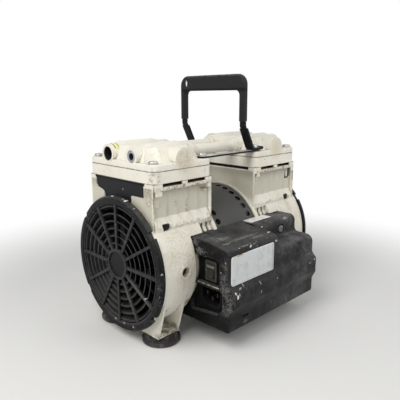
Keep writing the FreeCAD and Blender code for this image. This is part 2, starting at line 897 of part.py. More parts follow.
def valve_plate():
    shape = plate(column_half_x, column_half_y, head_corner, column_top, plate_top)
    low = prism_z(reed_corners(0.8, 1), column_top - 1, column_top + reed_recess)
    high = prism_z(reed_corners(0.8, -1), plate_top - reed_recess, plate_top + 1)
    cuts = [low, high]
    for side in (-1, 1):
        cuts.append(cylinder_z(column_top - 1, plate_top + 1, valve_hole, valve_hole_x, side * reed_offset_y))
        screw_at = reed_root_x - reed_screw_from_root
        start = column_top if side > 0 else plate_top - 8
        cuts.append(cylinder_z(start, start + 8, reed_screw_radius + 0.02, screw_at, side * reed_offset_y))
    for x, y in screw_places:
        cuts.append(cylinder_z(column_top - 1, plate_top + 1, head_screw_radius + head_screw_clearance, x, y))
    for cut in cuts:
        shape = shape.cut(cut)
    return shape


def reed(side):
    start = column_top + reed_recess - reed_thickness if side > 0 else plate_top - reed_recess
    leaf = prism_z(reed_corners(0, side), start, start + reed_thickness)
    hole = cylinder_z(start - 1, start + 1, reed_screw_radius + 0.4,
                      reed_root_x - reed_screw_from_root, side * reed_offset_y)
    return leaf.cut(hole)


def keeper():
    low = plate_top - reed_recess + reed_thickness + reed_gap
    tip = reed_root_x - reed_length + 2
    profile = [
        (reed_root_x - 2, low, 0),
        (reed_root_x - 2, low + keeper_thickness, 0),
        (tip, low + keeper_rise + keeper_thickness, 0),
        (tip, low + keeper_rise, 0),
    ]
    strip = prism_y(profile, -reed_offset_y - reed_width / 2 + 1.5, -reed_offset_y + reed_width / 2 - 1.5)
    return strip.cut(cylinder_z(low - 1, low + 4, reed_screw_radius + 0.1,
                                reed_root_x - reed_screw_from_root, -reed_offset_y))


def reed_screw(side):
    x = reed_root_x - reed_screw_from_root
    y = side * reed_offset_y
    if side > 0:
        seat = column_top + reed_recess - reed_thickness - reed_gap
        head = cylinder_z(seat - 0.9, seat, reed_screw_head, x, y)
        shank = cylinder_z(seat, column_top + 7, reed_screw_radius, x, y)
    else:
        seat = plate_top - reed_recess + reed_thickness + reed_gap + keeper_thickness + 0.4
        head = cylinder_z(seat, seat + 1.6, reed_screw_head, x, y)
        shank = cylinder_z(plate_top - 7, seat, reed_screw_radius, x, y)
    return head.fuse(shank)


# Head casting: flange, sloping dome, two through port bosses, one cross boss, two chambers
def chamber_corners():
    half_y = (chamber_reach_y - partition / 2) / 2
    return plate_corners(chamber_half_x, half_y, chamber_corner, 0, partition / 2 + half_y)


def rounded_loft(low, high):
    wires = [rounded_face(corners, in_xy(z)).OuterWire for corners, z in (low, high)]
    return Part.makeLoft(wires, True)


def head():
    flange = plate(column_half_x, column_half_y, head_corner, head_bottom, flange_top)
    rim = [edge for edge in flange.Edges if edge.BoundBox.ZMin > flange_top - 0.01]
    flange = flange.makeFillet(1.4, rim)
    dome_top = flange_top + dome_height
    dome = rounded_loft((plate_corners(*dome_base, dome_corner), flange_top - 2.5),
                        (plate_corners(*dome_crown, dome_corner), dome_top))
    rim = [edge for edge in dome.Edges if edge.BoundBox.ZMin > dome_top - 0.01]
    dome = dome.makeFillet(3.5, rim)
    cones = []
    for x, y in screw_places:
        cone = Part.makeCone(pad_radius, pad_radius + pad_taper, dome_height + 4, V(x, y, flange_top - 0.01))
        cones.append(cone)
    dome = dome.cut(Part.makeCompound(cones))
    bosses = []
    for side, radius in ((1, intake_boss), (-1, exhaust_boss)):
        y = side * port_y
        bosses.append(cylinder_x(-column_half_x + boss_setback, column_half_x - boss_setback, radius, y,
                                 port_z))
        hump = cylinder_x(-20, 20, hump_radius, y, port_z)
        tapers = [Part.makeCone(hump_radius, radius, 9, V(end * 20, y, port_z), V(end, 0,
                                                                                  0)) for end in (-1, 1)]
        bosses += [hump] + tapers
    cross = cylinder_y(-column_half_y, column_half_y, cross_boss_radius, 0, flange_top + cross_boss_height)
    keep = box(-60, 60, -70, 70, head_bottom + 1, dome_top + 20)
    bosses = [boss.common(keep) for boss in bosses + [cross]]
    shape = joined(flange, [dome] + bosses)
    cavity = prism_z(chamber_corners(), head_bottom - 1, flange_top + dome_height - dome_wall)
    cuts = [cavity, other_side(cavity)]
    cuts.append(cylinder_x(-60, 60, intake_hole, port_y, port_z))
    cuts.append(cylinder_x(-60, 60, exhaust_hole, -port_y, port_z))
    for x, y in screw_places:
        cuts.append(cylinder_z(head_bottom - 1, flange_top + 12, head_screw_radius + head_screw_clearance,
                               x, y))
    for cut in cuts:
        shape = shape.cut(cut)
    return shape


# The open port of the front head is bored out a little for the hose fitting
def open_port():
    return cylinder_x(-port_face - 1, -port_face + intake_mouth_depth, intake_mouth, port_y, port_z)


def head_gasket():
    shape = plate(column_half_x, column_half_y, head_corner, plate_top, head_bottom)
    opening = prism_z(chamber_corners(), plate_top - 1, head_bottom + 1)
    shape = shape.cut(opening).cut(other_side(opening))
    for x, y in screw_places:
        shape = shape.cut(cylinder_z(plate_top - 1, head_bottom + 1, head_screw_radius + 0.5, x, y))
    return shape


def head_screw(x, y, seat):
    under_head = seat + washer_thickness
    low = screw_slot_bottom + 1.8 if abs(x) > unit_x else lip_bottom - 4
    washer = tube_z(seat, under_head, head_screw_head + washer_margin, head_screw_radius + 0.1, x, y)
    crown = cylinder_z(under_head, under_head + head_screw_head_height, head_screw_head, x, y)
    top = [edge for edge in crown.Edges if edge.BoundBox.ZMin > under_head + 1]
    crown = crown.makeFillet(1.2, top)
    shank = cylinder_z(low, under_head, head_screw_radius, x, y)
    slot = box(x - 8, x + 8, y - 0.6, y + 0.6, under_head + head_screw_head_height - 1.0, seat + 9)
    return [washer, crown.fuse(shank).cut(slot)]


# Tubes, bushing and plugs in the ports
def head_tube(side):
    hole = intake_hole if side > 0 else exhaust_hole
    y = side * port_y
    inside = inner_face - tube_collar_length
    seated = inner_face + boss_setback
    reach = inner_face + tube_insertion
    between = box(-inside, inside, -column_half_y, column_half_y, column_top, handle_top)
    spigots = cylinder_x(-reach, reach, hole - fit_clearance, y, port_z).cut(between)
    collars = cylinder_x(-seated, seated, tube_collar, y, port_z).cut(between)
    flange_room = box(inner_face - gap, outer_face, -column_half_y, column_half_y, column_top,
                      flange_top + gap)
    collars = collars.cut(flange_room).cut(other_end(flange_room))
    middle = cylinder_x(-inside, inside, tube_radius, y, port_z)
    return joined(middle, [spigots, collars]).cut(cylinder_x(-reach - 1, reach + 1, tube_bore, y, port_z))


def exhaust_bushing():
    body = cylinder_x(-port_face + 0.2, -port_face + 0.2 + bushing_length, exhaust_hole - fit_clearance,
                      -port_y, port_z)
    rim = [edge for edge in body.Edges if edge.BoundBox.XMax < -port_face + 0.3]
    bore = cylinder_x(-port_face - 1, -port_face + bushing_length + 1, bushing_hole, -port_y, port_z)
    return body.makeFillet(0.8, rim).cut(bore)


def port_plug(side):
    hole = intake_hole if side > 0 else exhaust_hole
    body = cylinder_x(port_face - plug_length, port_face + 0.8, hole - fit_clearance, side * port_y, port_z)
    socket = [(side * port_y + 3.6 * math.cos(math.radians(a)), port_z + 3.6 * math.sin(math.radians(a)), 0)
              for a in range(0, 360, 60)]
    return body.cut(prism_x(socket, port_face - 4, port_face + 2))


# Fan with twisted blades
def fan_blade():
    sections = []
    middle = (fan_inner_face + fan_outer_face) / 2
    for radius, chord, pitch in ((fan_hub_radius - 2, 17.0, 35.0), (fan_radius + 2, 25.0, 62.0)):
        turn = math.radians(pitch)
        along = V(math.cos(turn), math.sin(turn), 0)
        off = V(-math.sin(turn), math.cos(turn), 0)
        points = []
        for a, b in ((-0.5, -0.5), (0.5, -0.5), (0.5, 0.5), (-0.5, 0.5)):
            corner = along * (a * chord) + off * (b * blade_thickness)
            points.append(V(middle + corner.x, corner.y, shaft_height + radius))
        sections.append(Part.makePolygon(points + points[:1]))
    return Part.makeLoft(sections, True, True)


def fan():
    trim = cylinder_x(fan_inner_face, fan_outer_face, fan_radius)
    blade = fan_blade().common(trim)
    hub = cylinder_x(rod_bearing_end + 1.2, fan_outer_face, fan_hub_radius)
    blades = [turned(blade, number * 360 / blade_count) for number in range(blade_count)]
    shape = hub.multiFuse(blades)
    shape = shape.cut(cylinder_x(rod_bearing_end, fan_outer_face + 1, shaft_end_radius + running_clearance))
    return shape.cut(tube_x(fan_outer_face - 6, fan_outer_face + 1, fan_hub_radius - 2.5,
                            shaft_end_radius + 3))


def fan_clip():
    return tube_x(fan_outer_face, fan_outer_face + 1.2, shaft_end_radius + 3.5, shaft_end_radius + 0.02)


# Guard: rim, hub, spokes and ring slats that slant inwards towards the fan
def fan_guard():
    back = drum_front
    front = guard_front
    rim = turned_x([
        (back, guard_opening), (back, guard_radius), (front - 2.2, guard_radius), (front, guard_radius - 1.8),
        (front, guard_opening + 2.2), (front - 1.6, guard_opening),
    ])
    spigot = turned_x([
        (back - 3, fan_chamber_radius - gap - 1.6), (back - 3, fan_chamber_radius - gap),
        (back + 0.5, fan_chamber_radius - gap), (back + 0.5, fan_chamber_radius - gap - 1.6),
    ])
    hub = cylinder_x(front - 6, front - 1.2, guard_hub_radius)
    ring = tube_x(front - 1.6, front, guard_hub_radius, guard_hub_radius - 2.4)
    pieces = [spigot, hub, ring]
    slat_front = front - 2.0
    slat_back = slat_front - slat_depth
    for number in range(slat_count):
        outer = slat_first + number * slat_pitch
        pieces.append(turned_x([
            (slat_front, outer - slat_thickness), (slat_front, outer),
            (slat_back, outer - slat_spread), (slat_back, outer - slat_spread - slat_thickness),
        ]))
    spoke = box(front - 5.2, front - 0.6, -spoke_width / 2, spoke_width / 2,
                shaft_height + guard_hub_radius - 1.5, shaft_height + guard_opening + 1)
    pieces += [turned(spoke, number * 360 / spoke_count) for number in range(spoke_count)]
    shape = rim.multiFuse(pieces)
    notches = []
    for angle in notch_angles:
        notch = box(back - 1, front + 1, -notch_width / 2, notch_width / 2,
                    shaft_height + guard_radius - notch_depth, shaft_height + guard_radius + 3)
        notches.append(turned(notch, angle - 90))
    return shape.cut(Part.makeCompound(notches))


def baffle():
    return prism_x(baffle_corners, baffle_plane, baffle_plane + baffle_thickness)


def housing_plug():
    return prism_y(plug_corners(0), plug_face - 9, plug_face)


# Feet with their threaded inserts and studs
def rubber_foot():
    profile = [(0, 0), (foot_radius - 1.5, 0), (foot_radius, 1.5), (foot_radius, 4.5), (foot_radius - 2.5,
                                                                                        6.0),
               (foot_radius - 2.5, foot_height), (0, foot_height)]
    points = [V(r, 0, z) for r, z in profile]
    shape = Part.Face(Part.makePolygon(points + points[:1])).revolve(V(0, 0, 0), up_z, 360)
    shape = shape.cut(cylinder_z(-1, foot_height + 1, insert_radius, 0, 0))
    return moved(shape, foot_spacing_x / 2, foot_spacing_y / 2)


def foot_insert():
    shape = cylinder_z(0, foot_height, insert_radius, 0, 0)
    shape = shape.cut(cylinder_z(-1, insert_length, insert_hole, 0, 0))
    stud = cylinder_z(foot_height - 0.5, leg_floor + foot_nut_height + 2, stud_radius, 0, 0)
    return moved(shape.fuse(stud), foot_spacing_x / 2, foot_spacing_y / 2)


def foot_nut():
    corners = []
    for angle in range(0, 360, 60):
        turn = math.radians(angle)
        corners.append((foot_nut_radius * math.cos(turn), foot_nut_radius * math.sin(turn), 0))
    shape = prism_z(corners, leg_floor, leg_floor + foot_nut_height)
    shape = shape.cut(cylinder_z(leg_floor - 1, leg_floor + foot_nut_height + 1, stud_radius + 0.02, 0, 0))
    return moved(shape, foot_spacing_x / 2, foot_spacing_y / 2)


# Straps and handle
def strap(side):
    y = side * screw_y
    start = -inner_face - strap_overlap
    corners = [
        (start, y - strap_width / 2, strap_corner),
        (-start, y - strap_width / 2, strap_corner),
        (-start, y + strap_width / 2, strap_corner),
        (start, y + strap_width / 2, strap_corner),
    ]
    shape = prism_z(corners, flange_top, strap_top)
    for x in (-unit_x + screw_x, unit_x - screw_x):
        shape = shape.cut(cylinder_z(flange_top - 1, strap_top + 1, head_screw_radius + 0.3, x, y))
    return shape


# A bent strip: centre line points in XZ, sheet thickness, extruded across Y
def bent_strip(line, thickness, y0, y1):
    half = thickness / 2
    upper = []
    lower = []
    for number, (x, z) in enumerate(line):
        directions = []
        if number > 0:
            directions.append(V(x - line[number - 1][0], z - line[number - 1][1], 0).normalize())
        if number < len(line) - 1:
            directions.append(V(line[number + 1][0] - x, line[number + 1][1] - z, 0).normalize())
        normals = [V(-d.y, d.x, 0) for d in directions]
        mitre = normals[0] if len(normals) == 1 else (normals[0] + normals[1]).normalize()
        reach = half / mitre.dot(normals[0])
        upper.append((x + mitre.x * reach, z + mitre.y * reach, 0))
        lower.append((x - mitre.x * reach, z - mitre.y * reach, 0))
    return prism_y(upper + lower[::-1], y0, y1)


def handle_outline(margin, low, radius):
    half = handle_half_y + grip_leg_width / 2 - margin
    inner = handle_half_y - grip_leg_width / 2 + margin
    bar_low = handle_top - handle_bar_height + margin
    corner = max(radius - margin, 1.0)
    return [
        (-half, low, 0),
        (-half, handle_top - margin, corner),
        (half, handle_top - margin, corner),
        (half, low, 0),
        (inner, low, 0),
        (inner, bar_low, 6.0),
        (-inner, bar_low, 6.0),
        (-inner, low, 0),
    ]


# The bail bends out from the handle, widens to the strap width and turns flat under its screws
def handle_bail():
    half = bail_thickness / 2
    arch = prism_x(handle_outline(bail_margin, handle_bend_height - 0.5, grip_outer_corner),
                   handle_x - half, handle_x + half)
    foot_z = strap_top + half
    bend = (handle_x, handle_bend_height - 4.0)
    knee = (bail_foot_start - 2.4, foot_z + 2.4)
    slope = V(knee[0] - bend[0], knee[1] - bend[1], 0)
    share = bail_neck / slope.Length
    shoulder = (bend[0] + slope.x * share, bend[1] + slope.y * share)
    neck = [(handle_x, handle_bend_height + 1.0), bend, (bend[0] + slope.x * share * 1.2,
                                                         bend[1] + slope.y * share * 1.2)]
    foot = [shoulder, knee, (bail_foot_start, foot_z), (bail_foot_end, foot_z),
            (bail_foot_end + bail_tip, foot_z + bail_tip * 0.7)]
    pieces = []
    for side in (-1, 1):
        centre = side * handle_half_y
        pieces.append(bent_strip(neck, bail_thickness, centre - grip_leg_width / 2,
                                 centre + grip_leg_width / 2))
        pieces.append(bent_strip(foot, bail_thickness, centre - strap_width / 2, centre + strap_width / 2))
    shape = arch.multiFuse(pieces)
    for side in (-1, 1):
        shape = shape.cut(cylinder_z(strap_top - 1, bail_foot_top + 1, head_screw_radius + 0.3,
                                     unit_x - screw_x, side * screw_y))
    return shape.removeSplitter()


def handle_grip():
    half = grip_thickness / 2
    shape = prism_x(handle_outline(0, handle_bend_height + 1.2, grip_outer_corner), handle_x - half,
                    handle_x + half)
    long_edges = [edge for edge in shape.Edges
                  if edge.BoundBox.XLength < 0.01 and edge.BoundBox.ZMax > handle_bend_height + 2]
    shape = shape.makeFillet(grip_edge, long_edges)
    core = prism_x(handle_outline(bail_margin, handle_bend_height - 0.5, grip_outer_corner),
                   handle_x - bail_thickness / 2, handle_x + bail_thickness / 2)
    return shape.cut(core)


# Electrical cover: a moulded shell with a tall block at the left and a stepped hump at the right
def cover_profile(kind):
    crest = cover_front - bulge_reach
    front = [
        (cover_front, bulge_high, 6.0),
        (crest, bulge_peak + 4, 9.0),
        (crest, bulge_peak - 9, 9.0),
        (cover_front - 1.5, bulge_low, 5.0),
        (cover_front - 1.5, cover_bottom, 4.0),
        (cover_inner_y, cover_bottom, 0),
    ]
    back = [(cover_inner_y, cover_back_z - 30, 0), (cover_back_y, cover_back_z, 0)]
    if kind == "block":
        top = [(block_ridge_y, block_ridge_z, 8.0), (cover_front, block_front_z, 6.0)]
    else:
        top = [(hump_front, hump_top, 8.0), (hump_front, shelf_height + 1, 5.0), (cover_front, shelf_height,
                                                                                  9.0)]
    return back + top + front


# One length of the cover with the edge at its outer end softened
def cover_length(kind, inset, x0, x1):
    face = rounded_face(cover_profile(kind), in_yz(x0))
    if inset > 0:
        face = face.makeOffset2D(-inset)
        return face.extrude(V(x1 - x0, 0, 0))
    body = face.extrude(V(x1 - x0, 0, 0))
    outer = x0 if kind == "block" else x1
    rim = []
    for edge in body.Edges:
        room = edge.BoundBox
        if room.XLength < 0.01 and abs(room.XMin - outer) < 0.01 and room.YMin < cover_inner_y - 30:
            if room.ZMax > cover_bottom + 1:
                rim.append(edge)
    return body.makeFillet(cover_end_edge, rim)


def cover_body(inset):
    x0 = cover_left + inset
    x1 = cover_right - inset
    tall = cover_length("block", inset, x0, cover_step - inset)
    low = cover_length("hump", inset, cover_step - inset - 2, x1)
    body = tall.fuse(low).removeSplitter()
    reach = cover_front - bulge_reach + inset
    corner = max(cover_corner - inset, 1.0)
    plan = [(x0, 0, 0), (x0, reach, corner), (x1, reach, corner), (x1, 0, 0)]
    return body.common(prism_z(plan, 0, 200))


# Two stepped recesses in the left end, for the switch above and the inlet below
def cover_panel_recess(margin, x0, x1):
    low = recess_middle_z + 1.5 - margin
    high = recess_middle_z - 1.5 + margin
    upper = prism_x([
        (recess_inner_y + margin, low, 3.0), (recess_upper_y - margin, low, 3.0),
        (recess_upper_y - margin, recess_top + margin, 4.0), (recess_inner_y + margin, recess_top + margin,
                                                              4.0),
    ], x0, x1)
    lower = prism_x([
        (recess_inner_y + margin, high, 3.0), (recess_lower_y - margin, high, 3.0),
        (recess_lower_y - margin, 46.0 - margin, 6.0), (recess_lower_y + 6.4 - margin, 38.8 - margin, 5.0),
        (recess_inner_y + margin, 34.5 - margin, 3.0),
    ], x0, x1)
    return [upper, lower]


def clear_of_motor(extra):
    motor = cylinder_x(-200, 200, stator_radius + extra)
    ring = cylinder_x(-200, 200, register_ring_radius + extra)
    ring = ring.common(box(ring_start - extra, inner_face + 2.3 + extra, -200, 200, 0, 200))
    rear_drum = cylinder_x(drum_back - extra, 200, drum_radius + extra)
    return motor.multiFuse([ring, other_end(ring), rear_drum])


def switch_opening(extra):
    half_y = switch_width / 2 - 1.2 + extra
    half_z = switch_height / 2 - 1.2 + extra
    return box(cover_left - 1, cover_left + panel_depth + panel_wall + 1, switch_y - half_y,
               switch_y + half_y,
               switch_z - half_z, switch_z + half_z)


def inlet_shell_corners(extra):
    half_y = inlet_cavity_width / 2 + extra
    half_z = inlet_cavity_height / 2 + extra
    slant = 5.0
    return [
        (inlet_y - half_y, inlet_z - half_z + slant, 0), (inlet_y - half_y, inlet_z + half_z, 0),
        (inlet_y + half_y, inlet_z + half_z, 0), (inlet_y + half_y, inlet_z - half_z + slant, 0),
        (inlet_y + half_y - slant, inlet_z - half_z, 0), (inlet_y - half_y + slant, inlet_z - half_z, 0),
    ]


def electrical_cover():
    outer = cover_body(0)
    cavity = cover_body(cover_wall)
    shape = outer.cut(cavity)

    # Trays behind the recesses, saddles under the capacitor, screw bosses
    tray_floor = panel_face + panel_wall
    pieces = [cavity.common(tray) for tray in cover_panel_recess(cover_wall, cover_left, tray_floor)]
    for x in (capacitor_start + 14, capacitor_start + capacitor_length - 16):
        pieces.append(cavity.common(box(x, x + cover_wall, -200, -72, cover_bottom - 4, capacitor_z - 2)))
    pieces.append(cylinder_y(hump_front + 1, -66, cover_boss_radius, cover_screw_x, cover_screw_z))
    for x in (-cover_screw_x, cover_screw_x):
        pieces.append(cylinder_z(cover_bottom + 1, bottom_seat_z + 5, cover_boss_radius, x, bottom_screw_y))
    shape = shape.multiFuse(pieces)
    shape = shape.cut(clear_of_motor(cover_gap))
    for recess in cover_panel_recess(0, cover_left - 1, panel_face):
        shape = shape.cut(recess)
    cuts = [
        switch_opening(0.2),
        prism_x(inlet_shell_corners(inlet_wall + 0.2), cover_left - 1, tray_floor + 1),
        cylinder_x(capacitor_start - 1, capacitor_start + capacitor_length + 1,
                   capacitor_radius + fit_clearance,
                   capacitor_y, capacitor_z),
        cylinder_y(hump_front - 2, cover_screw_seat, cover_screw_head + 1.6, cover_screw_x, cover_screw_z),
        cylinder_y(hump_front - 2, -60, cover_screw_radius + 0.3, cover_screw_x, cover_screw_z),
        box(*cover_slot_span, cover_front - 12, cover_front + 4, cover_slot_z - 1.5, cover_slot_z + 1.5),
    ]
    for x in (-cover_screw_x, cover_screw_x):
        cuts.append(cylinder_z(cover_bottom - 1, bottom_seat_z + 10, cover_screw_radius + 0.3, x,
                               bottom_screw_y))
        cuts.append(cylinder_z(cover_bottom - 1, cover_bottom + 2, cover_screw_head + 0.5, x, bottom_screw_y))
    for cut in cuts:
        shape = shape.cut(cut)
    return shape.removeSplitter()


def cover_screws():
    seat = cover_screw_seat
    crown = cylinder_y(seat - 2.4, seat, cover_screw_head, cover_screw_x, cover_screw_z)
    shank = cylinder_y(seat, -chamber_radius + 8, cover_screw_radius, cover_screw_x, cover_screw_z)
    slot = box(cover_screw_x - 6, cover_screw_x + 6, seat - 3, seat - 1.4, cover_screw_z - 0.5,
               cover_screw_z + 0.5)
    screws = [crown.fuse(shank).cut(slot)]
    for x in (-cover_screw_x, cover_screw_x):
        crown = cylinder_z(cover_bottom + 0.2, cover_bottom + 2, cover_screw_head, x, bottom_screw_y)
        shank = cylinder_z(cover_bottom + 2, bottom_seat_z + 3.4, cover_screw_radius, x, bottom_screw_y)
        screws.append(crown.fuse(shank))
    return screws


def capacitor():
    body = cylinder_x(capacitor_start, capacitor_start + capacitor_length, capacitor_radius, capacitor_y,
                      capacitor_z)
    ends = [edge for edge in body.Edges if edge.BoundBox.XLength < 0.01]
    body = body.makeFillet(1.5, ends)
    tabs = []
    for offset in (-6, 6):
        tabs.append(box(capacitor_start - 8, capacitor_start + 1, capacitor_y + offset - 0.4,
                        capacitor_y + offset + 0.4,
                        capacitor_z - 3.2, capacitor_z + 3.2))
    return body.multiFuse(tabs)


# Switch body with a hollow for the rocker, and the rocker on its hinge line
def switch_body():
    half_y = switch_width / 2
    half_z = switch_height / 2
    bezel_corners = [(switch_y - half_y, switch_z - half_z, 1.5), (switch_y + half_y, switch_z - half_z, 1.5),
                     (switch_y + half_y, switch_z + half_z, 1.5), (switch_y - half_y, switch_z + half_z, 1.5)]
    bezel = prism_x(bezel_corners, panel_face - bezel_thickness, panel_face)
    case = box(panel_face, panel_face + switch_depth, switch_y - half_y + 1.2, switch_y + half_y - 1.2,
               switch_z - half_z + 1.2, switch_z + half_z - 1.2)
    tabs = []
    for z in (-6, 0, 6):
        tabs.append(box(panel_face + switch_depth, panel_face + switch_depth + 7, switch_y - 2.4,
                        switch_y + 2.4,
                        switch_z + z - 0.4, switch_z + z + 0.4))
    shape = bezel.multiFuse([case] + tabs)
    low = switch_y - rocker_width / 2 - gap
    high = switch_y + rocker_width / 2 + gap
    hollow = cylinder_y(low, high, rocker_radius + gap, rocker_pivot, switch_z)
    pin = cylinder_y(low - 1, high + 1, rocker_pin, rocker_pivot, switch_z)
    return shape.cut(hollow).fuse(pin)


# The rocker is a round-backed paddle with a hollowed face; it rests with its upper end pressed
def switch_rocker():
    x = rocker_pivot
    z = switch_z
    face = x - rocker_face
    profile = [
        (face, z, 2.5), (face - rocker_dish, z + rocker_radius + 2, 0), (x + 4, z + rocker_radius + 2, 0),
        (x + 4, z - rocker_radius - 2, 0), (face - rocker_dish, z - rocker_radius - 2, 0),
    ]
    body = prism_y(profile, switch_y - rocker_width / 2, switch_y + rocker_width / 2)
    body = body.common(cylinder_y(switch_y - rocker_width, switch_y + rocker_width, rocker_radius, x, z))
    bore = cylinder_y(switch_y - rocker_width, switch_y + rocker_width, rocker_pin + running_clearance, x, z)
    return turned(body.cut(bore), rocker_tilt, across_y, V(x, 0, z))


# Power inlet: flange, socket shell and three flat pins
def power_inlet():
    half_y = inlet_width / 2
    half_z = inlet_height / 2
    flange_corners = [(inlet_y - half_y, inlet_z - half_z + 5, 1.0), (inlet_y - half_y, inlet_z + half_z,
                                                                      1.5),
                      (inlet_y + half_y, inlet_z + half_z, 1.5), (inlet_y + half_y, inlet_z - half_z, 1.5),
                      (inlet_y - half_y + 5, inlet_z - half_z, 1.0)]
    flange = prism_x(flange_corners, inlet_face, panel_face)
    back = inlet_face + inlet_cavity_depth + inlet_wall
    shell = prism_x(inlet_shell_corners(inlet_wall), inlet_face + 0.5, back)
    tabs = []
    for y, z in pin_places:
        tabs.append(box(back, back + 7, inlet_y + y - 0.4, inlet_y + y + 0.4, inlet_z + z - 2,
                        inlet_z + z + 2))
    socket = prism_x(inlet_shell_corners(0), inlet_face - 1, inlet_face + inlet_cavity_depth)
    shape = flange.fuse(shell).cut(socket)
    return shape.multiFuse(tabs)


def inlet_pins():
    start = inlet_face + pin_recess
    end = inlet_face + inlet_cavity_depth
    pins = []
    for y, z in pin_places:
        pins.append(box(start, end, inlet_y + y - 1, inlet_y + y + 1, inlet_z + z - 2, inlet_z + z + 2))
    return pins


def main_shaft():
    middle = cylinder_x(-main_bearing_end - 2, main_bearing_end + 2, shaft_radius)
    ends = cylinder_x(-fan_outer_face - 2.5, fan_outer_face + 2.5, shaft_end_radius)
    return middle.fuse(ends)


os.makedirs("parts", exist_ok=True)

# End units; the rear one sits at +X with its piston low, the front one at -X with its piston high
housing_shape = housing()
save("rear_housing", housing_shape)
save("front_housing", other_end(housing_shape))
sleeve_shape = cylinder_sleeve()
save("rear_cylinder_sleeve", sleeve_shape)
save("front_cylinder_sleeve", other_end(sleeve_shape))
save("sleeve_seals", sleeve_seal(), other_end(sleeve_seal()))
guard_shape = fan_guard()
save("rear_fan_guard", guard_shape)
save("front_fan_guard", other_end(guard_shape))
save("rear_baffle", baffle())
save("front_baffle", other_end(baffle()))
save("housing_plugs", *four_corners(housing_plug()))
save("rubber_feet", *four_corners(rubber_foot()))
save("foot_studs", *four_corners(foot_insert()), *four_corners(foot_nut()))

# Motor and shaft
save("stator_shell", stator_shell())
save("stator_core", stator_core())
save("stator_windings", winding(), other_end(winding()))
save("tie_bolts", *[tie_bolt(angle) for angle in tie_bolt_angles])
save("main_shaft", main_shaft())
save("rotor_core", rotor_core())
main_outer = bearing_outer(main_bearing_start, main_bearing_end, main_bearing_outer)
main_inner = bearing_inner(main_bearing_start, main_bearing_end, main_bearing_outer, 2 * shaft_radius)
save("main_bearing_outer_rings", main_outer, other_end(main_outer))

# Crank train, fans
rod_inner = []
for name, throw, place in (("rear", -1, same_end), ("front", 1, other_end)):
    pin_z = shaft_height + throw * crank_throw
    save(name + "_eccentric", place(eccentric(throw)))
    save(name + "_rod", place(piston_rod(throw)))
    outer_ring = bearing_outer(rod_bearing_start, rod_bearing_end, rod_bearing_outer, pin_z)
    inner_ring = bearing_inner(rod_bearing_start, rod_bearing_end, rod_bearing_outer, rod_bearing_bore, pin_z)
    save(name + "_rod_bearing", place(outer_ring))
    rod_inner.append(place(inner_ring))
    save(name + "_piston_cup", place(piston_cup(throw)))
    save(name + "_cup_retainer", place(cup_retainer(throw)), place(retainer_screw(throw)))
    save(name + "_fan", place(fan()))
save("bearing_inner_rings", main_inner, other_end(main_inner), *rod_inner)
save("set_screws", set_screw(-1), other_end(set_screw(1)))
save("fan_clips", fan_clip(), other_end(fan_clip()))

# Valve plates, reeds and heads, placed along X without mirroring
valve_plate_shape = valve_plate()
head_shape = head()
for name, x in (("front", -unit_x), ("rear", unit_x)):
    save(name + "_valve_plate", moved(valve_plate_shape, x))
    head_casting = moved(head_shape, x)
    save(name + "_head", head_casting.cut(open_port()) if x < 0 else head_casting)
    save(name + "_intake_reed", moved(reed(1), x))
    save(name + "_exhaust_reed", moved(reed(-1), x))
ends = (-unit_x, unit_x)
save("head_gaskets", *[moved(head_gasket(), x) for x in ends])
save("exhaust_keepers", *[moved(keeper(), x) for x in ends])
save("reed_screws", *[moved(reed_screw(side), x) for x in ends for side in (-1, 1)])
screws = []
for x, y in screw_places:
    screws += head_screw(-unit_x + x, y, flange_top if x < 0 else strap_top)
    screws += head_screw(unit_x + x, y, flange_top if x > 0 else bail_foot_top)
save("head_screws", *screws)

# Tubes and port fittings
save("intake_tube", head_tube(1))
save("exhaust_tube", head_tube(-1))
save("exhaust_bushing", exhaust_bushing())
save("port_plugs", port_plug(1), port_plug(-1))

# Handle
save("head_straps", strap(-1), strap(1))
save("handle_bail", handle_bail())
save("handle_grip", handle_grip())

# Electrical cover and what it holds
save("electrical_cover", electrical_cover())
save("cover_screws", *cover_screws())
save("capacitor", capacitor())
save("switch_body", switch_body())
save("switch_rocker", switch_rocker())
save("power_inlet", power_inlet())
save("inlet_pins", *inlet_pins())
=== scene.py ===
import bpy
import math
import numpy as np
from mathutils import Matrix, Vector


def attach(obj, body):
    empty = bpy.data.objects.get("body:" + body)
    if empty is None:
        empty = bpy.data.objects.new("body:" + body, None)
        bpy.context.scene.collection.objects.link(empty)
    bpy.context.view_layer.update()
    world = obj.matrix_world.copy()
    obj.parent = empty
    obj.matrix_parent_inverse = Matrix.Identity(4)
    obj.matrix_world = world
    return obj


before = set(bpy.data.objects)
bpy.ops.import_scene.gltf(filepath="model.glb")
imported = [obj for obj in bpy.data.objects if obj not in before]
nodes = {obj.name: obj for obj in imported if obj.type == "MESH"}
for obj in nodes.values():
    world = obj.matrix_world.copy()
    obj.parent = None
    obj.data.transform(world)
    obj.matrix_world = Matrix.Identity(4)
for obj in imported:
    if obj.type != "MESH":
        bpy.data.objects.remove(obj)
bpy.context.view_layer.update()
scene = bpy.context.scene
print("frame loaded:", len(nodes), "nodes")

# metres: the shaft above the floor, and the two ports, which share one axis along X
shaftHeight = 0.082
portY, portZ = 0.02, 0.197


